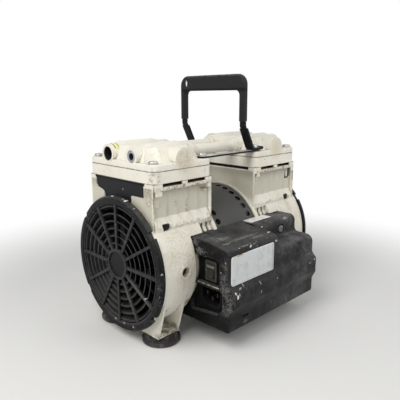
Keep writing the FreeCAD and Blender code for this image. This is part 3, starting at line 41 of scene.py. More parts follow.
class Amount:
    # a number that varies over a surface; sums written with it add Math nodes to its owner's tree
    def __init__(self, owner, socket):
        self.owner = owner
        self.socket = socket

    def math(self, operation, first, second=None):
        both = {"Value": first} if second is None else {"Value": first, "Value_001": second}
        made = self.owner.node("Math", {"operation": operation}, both)
        return Amount(self.owner, made.outputs[0])

    def __add__(self, other):
        return self.math("ADD", self, other)

    def __radd__(self, other):
        return self.math("ADD", other, self)

    def __sub__(self, other):
        return self.math("SUBTRACT", self, other)

    def __rsub__(self, other):
        return self.math("SUBTRACT", other, self)

    def __mul__(self, other):
        return self.math("MULTIPLY", self, other)

    def __rmul__(self, other):
        return self.math("MULTIPLY", other, self)

    def __pow__(self, other):
        return self.math("POWER", self, other)

    def squared(self):
        return self.math("MULTIPLY", self, self)

    def size(self):
        return self.math("ABSOLUTE", self)

    def hypot(self, other):
        # the long side of a right triangle whose short sides these two are
        return (self.squared() + other.squared()) ** 0.5

    def over(self, other):
        # the larger of two amounts
        return self.math("MAXIMUM", self, other)

    def step(self, low, high):
        # 0 below low, 1 above high and smooth between; low may be the larger
        made = self.owner.node("MapRange", {"interpolation_type": "SMOOTHSTEP"},
                               {"Value": self, "From Min": low, "From Max": high})
        return Amount(self.owner, made.outputs[0])

    def near(self, centre, gone, full):
        # 1 within full of the centre and 0 beyond gone, or the other way round if gone is the smaller
        return (self - centre).size().step(gone, full)

    def between(self, rise, fall):
        # 1 between two soft limits; each is a pair, where it is 0 and where it is 1
        return self.step(*rise) * self.step(*fall)


# settings of the patterns that every finish draws on
patternLook = {
    "raggedScale": 650.0, "raggedMiddle": 0.42,
    "wornGain": 3.4, "roundingSamples": 4,
    "scratchCut": (0.66, 0.72), "patchScale": 38.0, "patchCut": (0.62, 0.68), "patchShift": 5,
}


class NodeTree:
    # a tree that starts empty and gets every node from node()
    def __init__(self, tree):
        self.tree = tree
        tree.nodes.clear()

    def node(self, kind, settings=None, sockets=None):
        # any node: its settings are set first, then its sockets get values or links
        made = self.tree.nodes.new("ShaderNode" + kind)
        for key, value in (settings or {}).items():
            setattr(made, key, value)
        for key, value in (sockets or {}).items():
            socket = next(s for s in made.inputs if key in (s.identifier, s.name) and s.enabled)
            if isinstance(value, Amount):
                value = value.socket
            if isinstance(value, bpy.types.NodeSocket):
                self.tree.links.new(value, socket)
            elif socket.type == "RGBA":
                socket.default_value = (*value, 1.0)
            else:
                socket.default_value = value
        return made


class Finish(NodeTree):
    # one procedural material, built up by calls and closed by shade()
    def __init__(self, name):
        self.material = bpy.data.materials.new(name)
        self.material.use_nodes = True
        super().__init__(self.material.node_tree)
        self.place = self.node("TexCoord").outputs["Object"]

    def spread(self, stretch, turn=(0, 0, 0), shift=(0, 0, 0)):
        # object coordinates turned, then stretched, for a pattern with a grain
        turned = self.node("Mapping", {"vector_type": "TEXTURE"}, {"Vector": self.place, "Rotation": turn})
        made = self.node("Mapping", None, {"Vector": turned.outputs[0], "Scale": stretch, "Location": shift})
        return made.outputs[0]

    def noise(self, scale, detail, rough, at=None):
        made = self.node("TexNoise", None, {"Vector": at or self.place, "Scale": scale, "Detail": detail,
                                            "Roughness": rough})
        return Amount(self, made.outputs[0])

    def patches(self, scale, detail, rough, low, high):
        # noise cut to soft patches: 0 where it is below low, 1 where it is above high
        return self.noise(scale, detail, rough).step(low, high)

    def cells(self, scale):
        # the distance from scattered points, for specks
        made = self.node("TexVoronoi", None, {"Vector": self.place, "Scale": scale})
        return Amount(self, made.outputs["Distance"])

    def along(self, axis):
        # the object coordinate on one axis
        made = self.node("SeparateXYZ", None, {"Vector": self.place})
        return Amount(self, made.outputs[axis])

    def facing(self, axis):
        # the surface normal's share along one axis
        shape = self.node("NewGeometry")
        made = self.node("SeparateXYZ", None, {"Vector": shape.outputs["Normal"]})
        return Amount(self, made.outputs[axis])

    def spot(self, centre, radii, soft, ragged=0.0):
        # 1 inside an ellipsoid given in millimetres, 0 outside it; noise pushes a ragged edge in and out
        at = self.place
        for operation, numbers in (("SUBTRACT", centre), ("DIVIDE", radii)):
            sockets = {"Vector": at, "Vector_001": [number / 1000 for number in numbers]}
            at = self.node("VectorMath", {"operation": operation}, sockets).outputs[0]
        away = self.length(at)
        if ragged:
            wander = self.noise(patternLook["raggedScale"], 4, 0.75) - patternLook["raggedMiddle"]
            away = away + wander * ragged * 2
        return away.step(1.0 + soft / 2, 1.0 - soft / 2)

    def length(self, at):
        # how long a vector is
        made = self.node("VectorMath", {"operation": "LENGTH"}, {"Vector": at})
        return Amount(self, made.outputs["Value"])

    def crevice(self, reach, samples=8):
        # 1 deep in a corner or a seam, 0 on open surface
        made = self.node("AmbientOcclusion", {"samples": samples}, {"Distance": reach})
        return 1 - Amount(self, made.outputs["AO"])

    def rounded(self, radius):
        # the normal of the surface as if its edges had that radius
        samples = patternLook["roundingSamples"]
        return self.node("Bevel", {"samples": samples}, {"Radius": radius}).outputs[0]

    def worn(self, radius):
        # 1 along sharp edges, 0 on flat surface: how far a rounded edge's normal leaves the true one
        rounded = self.rounded(radius)
        shape = self.node("NewGeometry")
        made = self.node("VectorMath", {"operation": "DOT_PRODUCT"},
                         {"Vector": rounded, "Vector_001": shape.outputs["Normal"]})
        return (1 - Amount(self, made.outputs["Value"])) * patternLook["wornGain"]

    def scratches(self, size, length, turn, amount, seed=0.0):
        # long thin streaks, in patches: noise drawn out along one direction and cut near its top
        at = self.spread((size, size / length, size), turn, (seed, seed, seed))
        streak = self.noise(1, 1, 0.4, at).step(*patternLook["scratchCut"])
        at = self.spread((1, 1, 1), turn, (seed + patternLook["patchShift"], 0, 0))
        low, high = patternLook["patchCut"]
        return streak * self.noise(patternLook["patchScale"], 1, 0.5, at).step(low - amount, high - amount)

    def mix(self, factor, first, second):
        # the first colour where the factor is 0, the second where it is 1
        sockets = {"Factor_Float": factor, "A_Color": first, "B_Color": second}
        made = self.node("Mix", {"data_type": "RGBA"}, sockets)
        return next(result for result in made.outputs if result.type == "RGBA")

    def shade(self, colour, roughness, metallic=0.0, height=None, depth=0.0, edge=0.0, specular=0.5):
        # closes the material: height and depth make its relief, edge rounds its corners
        sockets = {"Base Color": colour, "Roughness": roughness, "Metallic": metallic,
                   "Specular IOR Level": specular}
        rounded = self.rounded(edge) if edge else None
        if height is not None:
            bump = {"Height": height, "Strength": 1.0, "Distance": depth}
            if rounded:
                bump["Normal"] = rounded
            sockets["Normal"] = self.node("Bump", None, bump).outputs[0]
        elif rounded:
            sockets["Normal"] = rounded
        made = self.node("BsdfPrincipled", None, sockets)
        self.node("OutputMaterial", None, {"Surface": made.outputs[0]})
        return self.material


creamLook = {
    "paint": (0.77, 0.745, 0.655),
    "aged": (0.63, 0.575, 0.455),
    # painted shade: the greyer colour of the pocket walls
    "pocket": (0.535, 0.51, 0.415),
    "grime": (0.14, 0.092, 0.048),
    "rust": (0.27, 0.135, 0.048),
    # dark chips and specks, and the painted shade under the front lip's inner end
    "chipAndShade": (0.055, 0.046, 0.038),
    # painted shade: the near black of the hollows
    "inside": (0.004, 0.004, 0.005),
    "orangePeel": 0.00006,
    "edge": 0.0011,
    "joint": (0.1727, 0.00042, 0.00018),
    # painted shade: the heights over which the pocket walls darken under the lip
    "shadeUnderLip": (0.15, 0.166),
}

# the hollows of a housing in metres: a pair is where the shadow is 0 and where it is full, and a triple is
# a middle with those two distances from it
hollowLook = {
    "chamber": (0.0652, 0.0648), "chamberStart": (0.0772, 0.0777),
    "crankcase": (0.0602, 0.0598), "crankcaseStart": (0.037, 0.0376),
    "slotAside": (0.0538, 0.0532), "slotAlong": ((0.0367, 0.0371), (0.1166, 0.116)),
    "slotHeight": ((0.1692, 0.1695), (0.1728, 0.1726)),
    "endSlotStart": (0.116, 0.1166), "endSlotAside": (0.0018, 0.043, 0.0425),
    "endSlotHeight": ((0.1698, 0.1701), (0.1727, 0.1725)),
    "screwSlotAlong": (0.1101, 0.005, 0.0046), "screwSlotAside": ((0.0405, 0.041), (0.049, 0.0484)),
    "screwSlotHeight": ((0.1508, 0.1514), (0.1665, 0.166)),
    "bossAlong": 0.091, "bossHeight": 0.083, "bossHole": (0.0051, 0.0049), "bossFloor": (0.0664, 0.0656),
    "drainAlong": (0.04835, 0.0056, 0.0052), "drainAside": (0.0529, 0.0524),
    "drainHeight": ((0.1203, 0.1216), (0.1234, 0.1229)),
    "pocketAside": (0.0522, 0.0512), "pocketHeight": ((0.13, 0.14), (0.169, 0.1675)),
    "portBore": (0.0077, 0.00745), "portDepth": (-0.1172, -0.115),
}


def housingHollowShade(f):
    # painted shade: 1 in the crank and fan chambers, in the slots and in the holes of the side faces, which
    # are painted near black
    look = hollowLook
    across, aside, height = f.along("X").size(), f.along("Y").size(), f.along("Z")
    away = aside.hypot(height - shaftHeight)
    chamber = away.step(*look["chamber"]) * across.step(*look["chamberStart"])
    crankcase = away.step(*look["crankcase"]) * across.step(*look["crankcaseStart"])
    slot = (height.between(*look["slotHeight"]) * aside.step(*look["slotAside"])
            * across.between(*look["slotAlong"]))
    endSlot = (across.step(*look["endSlotStart"]) * f.along("Y").near(*look["endSlotAside"])
               * height.between(*look["endSlotHeight"]))
    screwSlot = (across.near(*look["screwSlotAlong"]) * aside.between(*look["screwSlotAside"])
                 * height.between(*look["screwSlotHeight"]))
    bossHole = (across - look["bossAlong"]).hypot(height - look["bossHeight"])
    boss = bossHole.step(*look["bossHole"]) * aside.step(*look["bossFloor"])
    drain = (across.near(*look["drainAlong"]) * height.between(*look["drainHeight"])
             * aside.step(*look["drainAside"]))
    return chamber.over(crankcase).over(slot).over(endSlot).over(screwSlot).over(boss).over(drain)


def pocketShadeMask(f):
    # painted shade: 1 on the upright walls inside the side pockets of a column
    upright = 1 - f.facing("Z").size().step(0.2, 0.5)
    aside, height = f.along("Y").size(), f.along("Z")
    return aside.step(*hollowLook["pocketAside"]) * upright * height.between(*hollowLook["pocketHeight"])


def portBoreShade(f):
    # painted shade: 1 inside the open intake port, whose axis runs along X
    away = (f.along("Y") - portY).hypot(f.along("Z") - portZ)
    return away.step(*hollowLook["portBore"]) * f.along("X").step(*hollowLook["portDepth"])


def creamPaint(name, dirt, hollowShade, marks, runs, pocketShading=None):
    # aged cream paint; the hollow and pocket functions give the masks of painted shade: near black in the
    # hollows, greyer on the pocket walls
    f, look = Finish(name), creamLook
    aged = f.patches(22, 4, 0.6, 0.42, 0.75)
    colour = f.mix(aged * 0.5, look["paint"], look["aged"])
    # rubbed-in dirt and a fine brown mottle, both in patches
    film = f.patches(70, 5, 0.65, 0.48, 0.8) * 0.34 * dirt
    mottle = f.patches(430, 4, 0.65, 0.48, 0.78) * f.patches(45, 3, 0.5, 0.36, 0.6) * 0.55 * dirt
    colour = f.mix(film.over(mottle), colour, look["aged"])
    # brown grime in the corners and seams, broken up by noise
    seam = f.crevice(0.005).step(0.28, 0.82)
    grime = seam * f.patches(140, 4, 0.6, 0.28, 0.6)
    colour = f.mix(grime * 0.82 * dirt, colour, look["grime"])
    # the joint between column and valve plate
    joint = f.along("Z").near(*look["joint"]) * f.patches(120, 3, 0.6, 0.25, 0.5)
    colour = f.mix(joint * 0.85, colour, look["grime"])
    # rubbed and browned edges
    rim = f.worn(0.0018).step(0.15, 0.8) * f.patches(170, 4, 0.7, 0.44, 0.66)
    colour = f.mix(rim * 0.55 * dirt, colour, look["grime"])
    # long stains that run down the sides
    side = 1 - f.facing("Z").step(0.2, 0.7)
    if runs:
        streak = f.noise(1, 4, 0.6, f.spread((260, 260, 22))).step(0.6, 0.74)
        colour = f.mix(streak * side * runs * dirt, colour, look["grime"])
    # sparse dark chips and fine specks
    speck = f.cells(210).step(0.16, 0.1) * f.patches(60, 2, 0.5, 0.58, 0.64)
    flecks = f.cells(520).step(0.2, 0.1) * f.patches(85, 3, 0.5, 0.54, 0.64) * side
    colour = f.mix((speck * 0.75).over(flecks * 0.4) * dirt, colour, look["chipAndShade"])
    height = f.noise(900, 2, 0.5) * 0.6 + f.noise(260, 3, 0.5) - speck * 1.5
    rough = 0.42 + grime * 0.35 + film * 0.3
    # painted shade: greyer paint on the sheltered walls of the pockets
    if pocketShading:
        shade = pocketShading(f)
        colour = f.mix(shade * 0.8, colour, look["pocket"])
        # painted shade on the side of each flute that faces away from the lamp, broken up by noise, and under
        # the lip, both in the grime colour
        fluteShade = f.facing("X").step(-0.05, 0.42) * f.patches(45, 3, 0.5, 0.35, 0.65)
        colour = f.mix(shade * fluteShade * 0.2, colour, look["grime"])
        colour = f.mix(shade * f.along("Z").step(*look["shadeUnderLip"]).squared() * 0.38, colour, look["grime"])
    # the marks of the piece's own list, then the painted shade of its hollows
    for centre, radii, tint, share, broken in marks:
        patch = f.spot(centre, radii, 0.9) * share
        if broken:
            patch = patch * f.patches(broken, 4, 0.65, 0.42, 0.62)
        colour = f.mix(patch, colour, look[tint])
    if hollowShade:
        dark = hollowShade(f)
        colour = f.mix(dark, colour, look["inside"])
        rough = rough + dark * 0.3
    return f.shade(colour, rough, 0.0, height, look["orangePeel"], look["edge"])


blackLook = {
    "plastic": (0.0055, 0.0055, 0.0063),
    "rubbed": (0.03, 0.0295, 0.029),
    "dust": (0.105, 0.101, 0.094),
    "scratch": (0.4, 0.395, 0.385),
    "bare": (0.8, 0.78, 0.72),
    "deep": (0.003, 0.003, 0.0035),
    "grain": 0.00005,
    "specular": 0.13,
}


def blackPlastic(name, wear, edge, dusty, chips, base, extra=None):
    # rubbed black moulding; extra is a function that adds what only one piece has
    f, look = Finish(name), blackLook
    rubbed = f.patches(26, 6, 0.7, 0.44, 0.74)
    mottle = f.patches(230, 5, 0.65, 0.46, 0.78)
    colour = f.mix((rubbed * 0.55 + mottle * 0.3) * wear, base or look["plastic"], look["rubbed"])
    rim = f.worn(edge * 2.4).step(0.1, 0.75) * f.patches(150, 5, 0.75, 0.38, 0.68)
    colour = f.mix(rim * 0.7 * wear, colour, look["dust"])
    lines = f.scratches(900, 26, (0.3, 0.9, 0.5), 0.1 * wear)
    lines = lines.over(f.scratches(1100, 30, (1.2, 0.2, 2.1), 0.08 * wear, 3.0))
    lines = lines.over(f.scratches(800, 18, (2.3, 1.4, 0.9), 0.08 * wear, 7.0))
    lines = lines * f.patches(34, 3, 0.6, 0.46, 0.62)
    specks = f.cells(520).step(0.17, 0.08) * f.patches(80, 4, 0.65, 0.54, 0.66)
    colour = f.mix((lines * 0.42).over(specks * 0.6) * min(wear, 1.0), colour, look["scratch"])
    film = f.facing("Z").step(0.15, 0.95) * f.patches(60, 6, 0.68, 0.3, 0.7)
    colour = f.mix(film * dusty * 0.4, colour, look["dust"])
    if extra:
        colour = extra(f, colour)
    for centre, radii, tint, share, ragged in chips:
        colour = f.mix(f.spot(centre, radii, 0.4, ragged) * share, colour, look[tint])
    height = f.noise(1400, 2, 0.6) - lines * 0.7
    rough = 0.4 + rubbed * 0.18 + rim * 0.2 + film * 0.25
    return f.shade(colour, rough, 0.0, height, look["grain"], edge, look["specular"])


rubberLook = {"black": (0.01, 0.01, 0.011), "dust": (0.185, 0.175, 0.16), "dustyBelow": 0.012,
              "grain": 0.00008, "edge": 0.0006, "specular": 0.14}


def darkRubber(name):
    f, look = Finish(name), rubberLook
    dust = f.patches(90, 5, 0.65, 0.4, 0.74)
    low = f.along("Z").step(look["dustyBelow"], 0.0)
    colour = f.mix(dust * 0.65 + low * 0.25, look["black"], look["dust"])
    height = f.noise(700, 3, 0.6)
    return f.shade(colour, 0.78 + dust * 0.15, 0.0, height, look["grain"], look["edge"], look["specular"])


metalLook = {"grain": 0.00001, "edge": 0.0003, "streaks": 2200}


def metalFinish(name, colour, dark, roughness, brushed=0.0):
    f = Finish(name)
    stain = f.patches(240, 4, 0.6, 0.4, 0.75)
    grime = f.crevice(0.0025, 6).step(0.35, 0.9)
    tint = f.mix((stain * 0.5).over(grime * 0.85), colour, dark)
    fine = metalLook["streaks"]
    height = f.noise(1, 2, 0.5, f.spread((fine, fine - 2000 * brushed, fine)))
    return f.shade(tint, roughness + stain * 0.18, 1.0, height, metalLook["grain"], metalLook["edge"])


def paintedSteel(name, colour, worn, roughness, wear, edge=0.0005, extra=None):
    f = Finish(name)
    rim = f.worn(0.0012).step(0.2, 0.8) * f.patches(200, 4, 0.7, 0.42, 0.6)
    patch = f.patches(55, 5, 0.7, 0.6, 0.72)
    specks = f.cells(380).step(0.14, 0.08) * f.patches(80, 3, 0.5, 0.56, 0.64)
    bare = (rim.over(patch * 0.6) * wear).over(specks * 0.5 * min(wear * 2, 1.0))
    tint = f.mix(bare, colour, worn)
    if extra:
        tint = extra(f, tint)
    height = f.noise(1000, 2, 0.5)
    return f.shade(tint, roughness + bare * 0.1, 0.0, height, 0.00003, edge, 0.14)


def plainFinish(name, colour, second, roughness, scale=300, metallic=0.0, depth=0.00003):
    f = Finish(name)
    tint = f.mix(f.patches(scale, 4, 0.6, 0.35, 0.7), colour, second)
    return f.shade(tint, roughness, metallic, f.noise(scale * 4, 2, 0.5), depth, metalLook["edge"], 0.2)


# marks on the castings: centre and radii in millimetres, tint, how strong, and the scale
# of the noise that breaks the mark up, 0 for none
castingMarks = []
for end in (-1, 1):
    for side in (-1, 1):
        castingMarks += [
            ((end * 98, side * 52, 14), (20, 6, 5), "grime", 0.65, 180),
            ((end * 76.8, side * 55.2, 128.5), (40, 3, 2.2), "grime", 0.45, 220),
            ((end * 76.8, side * 56, 167.2), (36, 3, 2.6), "aged", 0.55, 0),
            ((end * 76.8, side * 56, 167.2), (34, 3, 2.6), "grime", 0.8, 330),
            ((end * 98, side * 26, 20), (22, 6, 10), "aged", 0.6, 120),
        ]
    castingMarks += [
        ((end * 114, -54.5, 156), (5, 3, 22), "aged", 0.7, 150),
        ((end * 116.4, -47, 160), (2, 8, 12), "grime", 0.5, 420),
        ((end * 116.5, -54, 160), (0.9, 1, 12), "grime", 0.8, 0),
        ((end * 116.5, -54, 142), (1, 1.1, 22), "grime", 0.7, 160),
        ((end * 100, -56, 110), (3, 10, 30), "rust", 0.22, 90),
        ((end * 90, -64, 100), (24, 16, 40), "aged", 0.6, 70),
        ((end * 90, -64, 100), (24, 16, 40), "grime", 0.2, 420),
    ]
castingMarks += [
    # painted shade under the inner end of the front lip, in the chip colour
    ((-45.5, -50.8, 160.5), (5, 3, 1.4), "chipAndShade", 0.75, 0),
    ((-48, -54, 124.5), (10, 4, 5), "aged", 0.75, 170),
    ((-40, -54.5, 129), (5, 4, 8), "grime", 0.45, 260),
    ((-70.3, -50.1, 141.7), (1.2, 3, 3), "chipAndShade", 0.75, 420),
    ((-70, -50, 148), (2, 3, 6), "grime", 0.45, 420),
    ((-85, -50, 150), (1.6, 3, 4), "grime", 0.4, 420),
    ((-107.3, -57.8, 42.6), (4.5, 5, 3.5), "chipAndShade", 0.8, 240),
    ((-76.3, -60, 45), (6, 8, 6.5), "rust", 0.7, 110),
    ((-96.2, -48, 15), (14, 8, 4.5), "grime", 0.85, 200),
]

headMarks = [
    ((-116, 12, 190), (1.5, 3, 2), "grime", 0.6, 300),
    ((-114, -52, 178.5), (6, 6, 9), "grime", 0.55, 240),
    ((-48.2, -55.5, 179), (0.6, 2, 7), "grime", 0.6, 200),
    ((-98.2, -39.7, 199), (8, 6, 5), "aged", 0.8, 150),
]
for end in (-1, 1):
    headMarks += [
        ((end * 76.8, 0, 185), (60, 70, 1), "grime", 0.75, 260),
        ((end * 76.8, -56, 193), (12.5, 1.6, 13), "aged", 1, 0),
    ]
headMarks += [((-76.8, -56, 193), (12.5, 1.6, 13), "grime", 0.25, 300.0)]

# marks on the black plastic: centre and radii in millimetres, tint, how strong, how ragged the edge is
coverChips = [
    ((-66, -117.8, 62.8), (1.6, 4, 2.2), "bare", 0.95, 1.3),
    ((-67.6, -116, 66.8), (1.6, 4, 1.2), "bare", 0.9, 1.5),
    ((-63, -117.5, 64.5), (1, 4, 1.6), "scratch", 0.85, 1.5),
    ((-58.5, -114, 69), (2.4, 4, 1), "scratch", 0.75, 1.6),
    ((-53.3, -112.8, 70.8), (0.9, 4, 2.4), "scratch", 0.8, 1.4),
    ((-28.8, -116.3, 66.9), (0.7, 4, 1.8), "scratch", 0.9, 1.2),
    ((-29.1, -118, 57.7), (0.8, 4, 1.6), "scratch", 0.8, 1.2),
    ((-0.8, -117.7, 64.1), (0.6, 4, 0.7), "bare", 0.8, 1),
    ((-38.3, -109.6, 106.2), (1.1, 1.6, 1.2), "bare", 0.95, 1.6),
    ((-36.8, -108.8, 107.2), (1, 1.6, 1.2), "bare", 0.95, 1.6),
    ((-54.2, -108.4, 108), (1, 1.2, 0.7), "bare", 0.8, 1.9),
    ((-28, -110, 105), (1.4, 1.4, 0.6), "scratch", 0.8, 1.9),
    ((-44, -108, 108.8), (11, 1.6, 0.8), "scratch", 0.45, 2.6),
    ((-73, -107.4, 97.2), (2, 1.2, 1.3), "scratch", 0.85, 1.2),
    ((-73, -101, 85.8), (2, 0.9, 0.9), "scratch", 0.65, 1.2),
    ((-70, -115, 59), (4, 3, 10), "dust", 0.45, 1.9),
    ((-73, -64, 110), (2.4, 6, 5), "scratch", 0.45, 3.4),
    ((-73, -72, 102), (2, 7, 5), "scratch", 0.4, 3.4),
    ((-60.8, -77, 113), (8, 4, 1.6), "dust", 0.8, 1.9),
    ((-59.2, -96.6, 111.2), (7, 2.2, 1.6), "scratch", 0.5, 3),
    # painted highlight along the ridge of the top front edge, drawn with the scratch and dust tints
    ((-33, -95, 111.5), (23, 1.5, 1), "scratch", 0.5, 2.4),
    ((-33, -95, 111.5), (30, 3, 2), "dust", 0.6, 1.2),
    ((-54, -85, 112.6), (11, 6, 1.4), "scratch", 0.45, 3.6),
    ((-15, -101, 110.5), (16, 3, 1.4), "scratch", 0.35, 3.6),
    ((-73, -109.5, 64), (3, 4, 15), "scratch", 0.2, 3),
    ((-72.8, -113, 52), (3, 3.6, 9), "scratch", 0.22, 3),
    ((-73, -107, 93), (3, 4, 10), "dust", 0.6, 3),
    ((14.9, -83.5, 111), (1.3, 1.3, 0.9), "bare", 0.9, 1.9),
    ((5, -100, 110), (3, 1.6, 1.2), "bare", 0.8, 1.5),
    ((5, -110, 103.5), (2.8, 1.6, 1.2), "bare", 0.75, 2.2),
    ((61.1, -81.7, 112.6), (6, 3, 1.6), "scratch", 0.6, 1.8),
    ((73.4, -107.6, 91), (5, 3, 2), "dust", 0.9, 1.9),
    ((74.6, -116.8, 66), (1.4, 3, 1.2), "scratch", 0.85, 1.4),
    ((63.6, -117.6, 64.2), (1, 3, 0.8), "scratch", 0.75, 1.4),
    ((-47, -113, 29), (5, 3, 2.2), "dust", 0.75, 1.2),
]
# places in metres: a pair is where a mask is 0 and where it is 1, a triple a middle with two distances
coverLook = {
    "recess": ((-0.0722, -0.07), (0.079, 0.078)), "endFace": (-0.0722, -0.0727),
    "shelf": (0.0681, 0.0009, 0.0004), "shelfDepth": ((0.06, 0.063), (0.0995, 0.0975)),
    "tipDepth": (0.09, 0.093), "tip": (0.5, 0.46, 0.34),
    "footHeight": 0.0281, "footSlope": 0.1103, "foot": (0.0007, 0.0003),
    "footDepth": ((0.059, 0.061), (0.097, 0.095)),
    "rubAndSheen": (0.094, 0.097, 0.103), "cloudyBeyond": (-0.01, 0.03),
    "topDust": (0.14, 0.142, 0.146), "dustyBeyond": (-0.004, 0.012), "shadedFoot": (0.06, 0.048),
    "stripDepth": ((0.0995, 0.1015), (0.119, 0.115)), "stripStart": (0.033, 0.042),
    "stripEnd": (0.11, 0.07), "scuff": (0.19, 0.19, 0.19),
}


def shadedRecessMask(f):
    # 1 on the cover's faces behind its front end that look towards the fan: recess floors and the inside,
    # where shade is painted
    return f.along("X").between(*coverLook["recess"]) * f.facing("X").step(-0.5, -0.9)


def coverEdges(f, colour):
    # the worn edge of the shelf between the two recesses and of the lower recess's foot
    look = coverLook
    atEnd = f.along("X").step(*look["endFace"])
    depth, height = f.along("Y") * -1, f.along("Z")
    broken = f.noise(330, 4, 0.7)
    shelf = height.near(*look["shelf"]) * depth.between(*look["shelfDepth"])
    colour = f.mix(atEnd * shelf * broken.step(0.36, 0.56) * 0.75, colour, blackLook["scratch"])
    tip = atEnd * shelf * depth.step(*look["tipDepth"]) * broken.step(0.3, 0.5)
    colour = f.mix(tip * 0.8, colour, look["tip"])
    foot = (height - look["footHeight"]).near(depth * look["footSlope"], *look["foot"])
    foot = foot * depth.between(*look["footDepth"])
    colour = f.mix(atEnd * foot * broken.step(0.34, 0.54) * 0.55, colour, blackLook["scratch"])
    # the long front is lightened to a cloudy grey, partly rubbing and partly painted sheen, most of it beyond
    # the label
    front = f.facing("Y").step(-0.3, -0.85) * (1 - atEnd)
    rubAndSheen = f.patches(34, 8, 0.76, 0.4, 0.64)
    beyond = 0.45 + f.along("X").step(*look["cloudyBeyond"]) * 0.55
    colour = f.mix(front * rubAndSheen * beyond * 0.55, colour, look["rubAndSheen"])
    deep = shadedRecessMask(f)
    fine = f.cells(760).step(0.15, 0.07) * f.patches(42, 5, 0.7, 0.47, 0.58)
    colour = f.mix(fine * (1 - deep) * 0.55, colour, blackLook["scratch"])
    # dust lies on the top and on the hump
    flat = f.facing("Z").step(0.55, 0.95) * f.patches(40, 8, 0.74, 0.34, 0.66)
    colour = f.mix(flat * (0.36 + f.along("X").step(*look["dustyBeyond"]) * 0.34), colour, look["topDust"])
    # painted shade: the foot of the end face is darkened to black
    colour = f.mix(atEnd * height.step(*look["shadedFoot"]) * 0.75, colour, blackLook["deep"])
    # the strip between the recesses and the front corner is scuffed grey
    strip = atEnd * depth.between(*look["stripDepth"]) * height.between(look["stripStart"], look["stripEnd"])
    scuff = f.patches(95, 6, 0.72, 0.4, 0.64) * f.patches(420, 4, 0.7, 0.3, 0.66)
    colour = f.mix(strip * scuff * 0.8, colour, look["scuff"])
    # painted shade: the recesses and the inside stay clean and are darkened to deep black
    return f.mix(deep * 0.7, colour, blackLook["deep"])


guardChips = [
    ((-123.7, -72.1, 90), (1.4, 1, 1.1), "scratch", 0.8, 1.9),
    ((-123.5, -70, 82), (1.6, 1.4, 3), "dust", 0.9, 2.2),
    ((-124, -45.9, 57.2), (2.4, 0.8, 1), "bare", 0.95, 1.2),
    ((-125, -25.7, 19.5), (1.6, 2, 1.2), "scratch", 0.8, 1.3),
    ((-124.6, 7, 17.4), (2, 1.6, 0.8), "scratch", 0.8, 1.4),
    ((-124.6, -8.4, 17.5), (2, 1.4, 0.8), "scratch", 0.8, 1.4),
    ((-122.7, 5.7, 154.8), (2, 3, 1), "bare", 0.8, 1.5),
    ((-121.6, -16.5, 153), (3, 1.8, 1.4), "bare", 0.85, 1.4),
    ((-122.5, -12, 154.5), (3, 1.4, 1.2), "scratch", 0.8, 1.4),
    ((-123.5, -31.5, 147.5), (1.8, 0.9, 0.9), "scratch", 0.7, 2),
    ((-124, -49, 121.5), (1.6, 1, 4), "dust", 0.8, 1.6),
]
guardLook = {
    "base": (0.0035, 0.0035, 0.0042), "inside": (0.0655, 0.0645), "slats": (0.1229, 0.1218),
    "dark": (0.0012, 0.0012, 0.0015), "fronts": (0.1228, 0.1232), "hubRim": (0.0138, 0.0142),
    "rubbed": (0.062, 0.062, 0.064),
    "dustAt": (-125, -33, 56), "dustReach": (3, 24, 24),
    "dustStart": (0.1236, 0.124), "dust": (0.15, 0.15, 0.148),
}


def guardShadeAndHighlight(f, colour):
    # painted shade: the slats darken towards the fan; their front edges, the spokes and the hub's rim are
    # lighter grey, partly rubbing and partly painted highlight
    look = guardLook
    across = f.along("X").size()
    away = f.along("Y").hypot(f.along("Z") - shaftHeight)
    inside = away.step(*look["inside"])
    colour = f.mix(inside * across.step(*look["slats"]) * 0.75, colour, look["dark"])
    lit = inside * across.step(*look["fronts"]) * f.patches(80, 6, 0.7, 0.3, 0.6)
    colour = f.mix(lit * away.step(*look["hubRim"]) * 0.55, colour, look["rubbed"])
    # dust on the lower near part of the front
    dusty = f.spot(look["dustAt"], look["dustReach"], 1.0, 1.2) * across.step(*look["dustStart"])
    return f.mix(dusty * 0.45, colour, look["dust"])


gripChips = [((17, 40.3, 270.3), (1.2, 1.4, 3.6), "bare", 0.95, 0.8)]
gripLook = {
    "base": (0.017, 0.017, 0.0185), "top": (0.277, 0.2782), "pale": (0.1, 0.1, 0.105),
    "low": ((0.265, 0.263), (0.26, 0.261)), "dark": (0.002, 0.002, 0.003),
}


def gripHighlightAndShade(f, colour):
    # painted highlight: a pale line along the top edge of the bar; painted shade: dark below it
    top = f.along("Z").step(*gripLook["top"]) * f.patches(180, 3, 0.6, 0.3, 0.6)
    colour = f.mix(top * 0.6, colour, gripLook["pale"])
    return f.mix(f.along("Z").between(*gripLook["low"]) * 0.8, colour, gripLook["dark"])


# rubbed is the colour of the painted highlight on the rocker's upper end
rockerLook = {"base": (0.026, 0.025, 0.021), "line": (0.0868, 0.0018, 0.0008), "rubbed": (0.27, 0.26, 0.23)}


def rockerHighlight(f, colour):
    # painted highlight: a pale line along the upper end of the rocker
    line = f.along("Z").near(*rockerLook["line"]) * f.patches(300, 3, 0.6, 0.25, 0.5)
    return f.mix(line * 0.6, colour, rockerLook["rubbed"])


baffleLook = {
    "paint": (0.014, 0.014, 0.016), "worn": (0.05, 0.05, 0.05), "shadow": (0.002, 0.002, 0.003),
    "shadowStart": (0.17, 0.1703), "speckAt": (-116.1, -4, 162.2), "speckReach": (2, 0.9, 1),
    "speck": (0.42, 0.42, 0.4),
}


def baffleShade(f, colour):
    # the shadowed strip under the valve plate, and one bright speck
    colour = f.mix(f.along("Z").step(*baffleLook["shadowStart"]), colour, baffleLook["shadow"])
    speck = f.spot(baffleLook["speckAt"], baffleLook["speckReach"], 0.4, 1.0)
    return f.mix(speck * 0.8, colour, baffleLook["speck"])


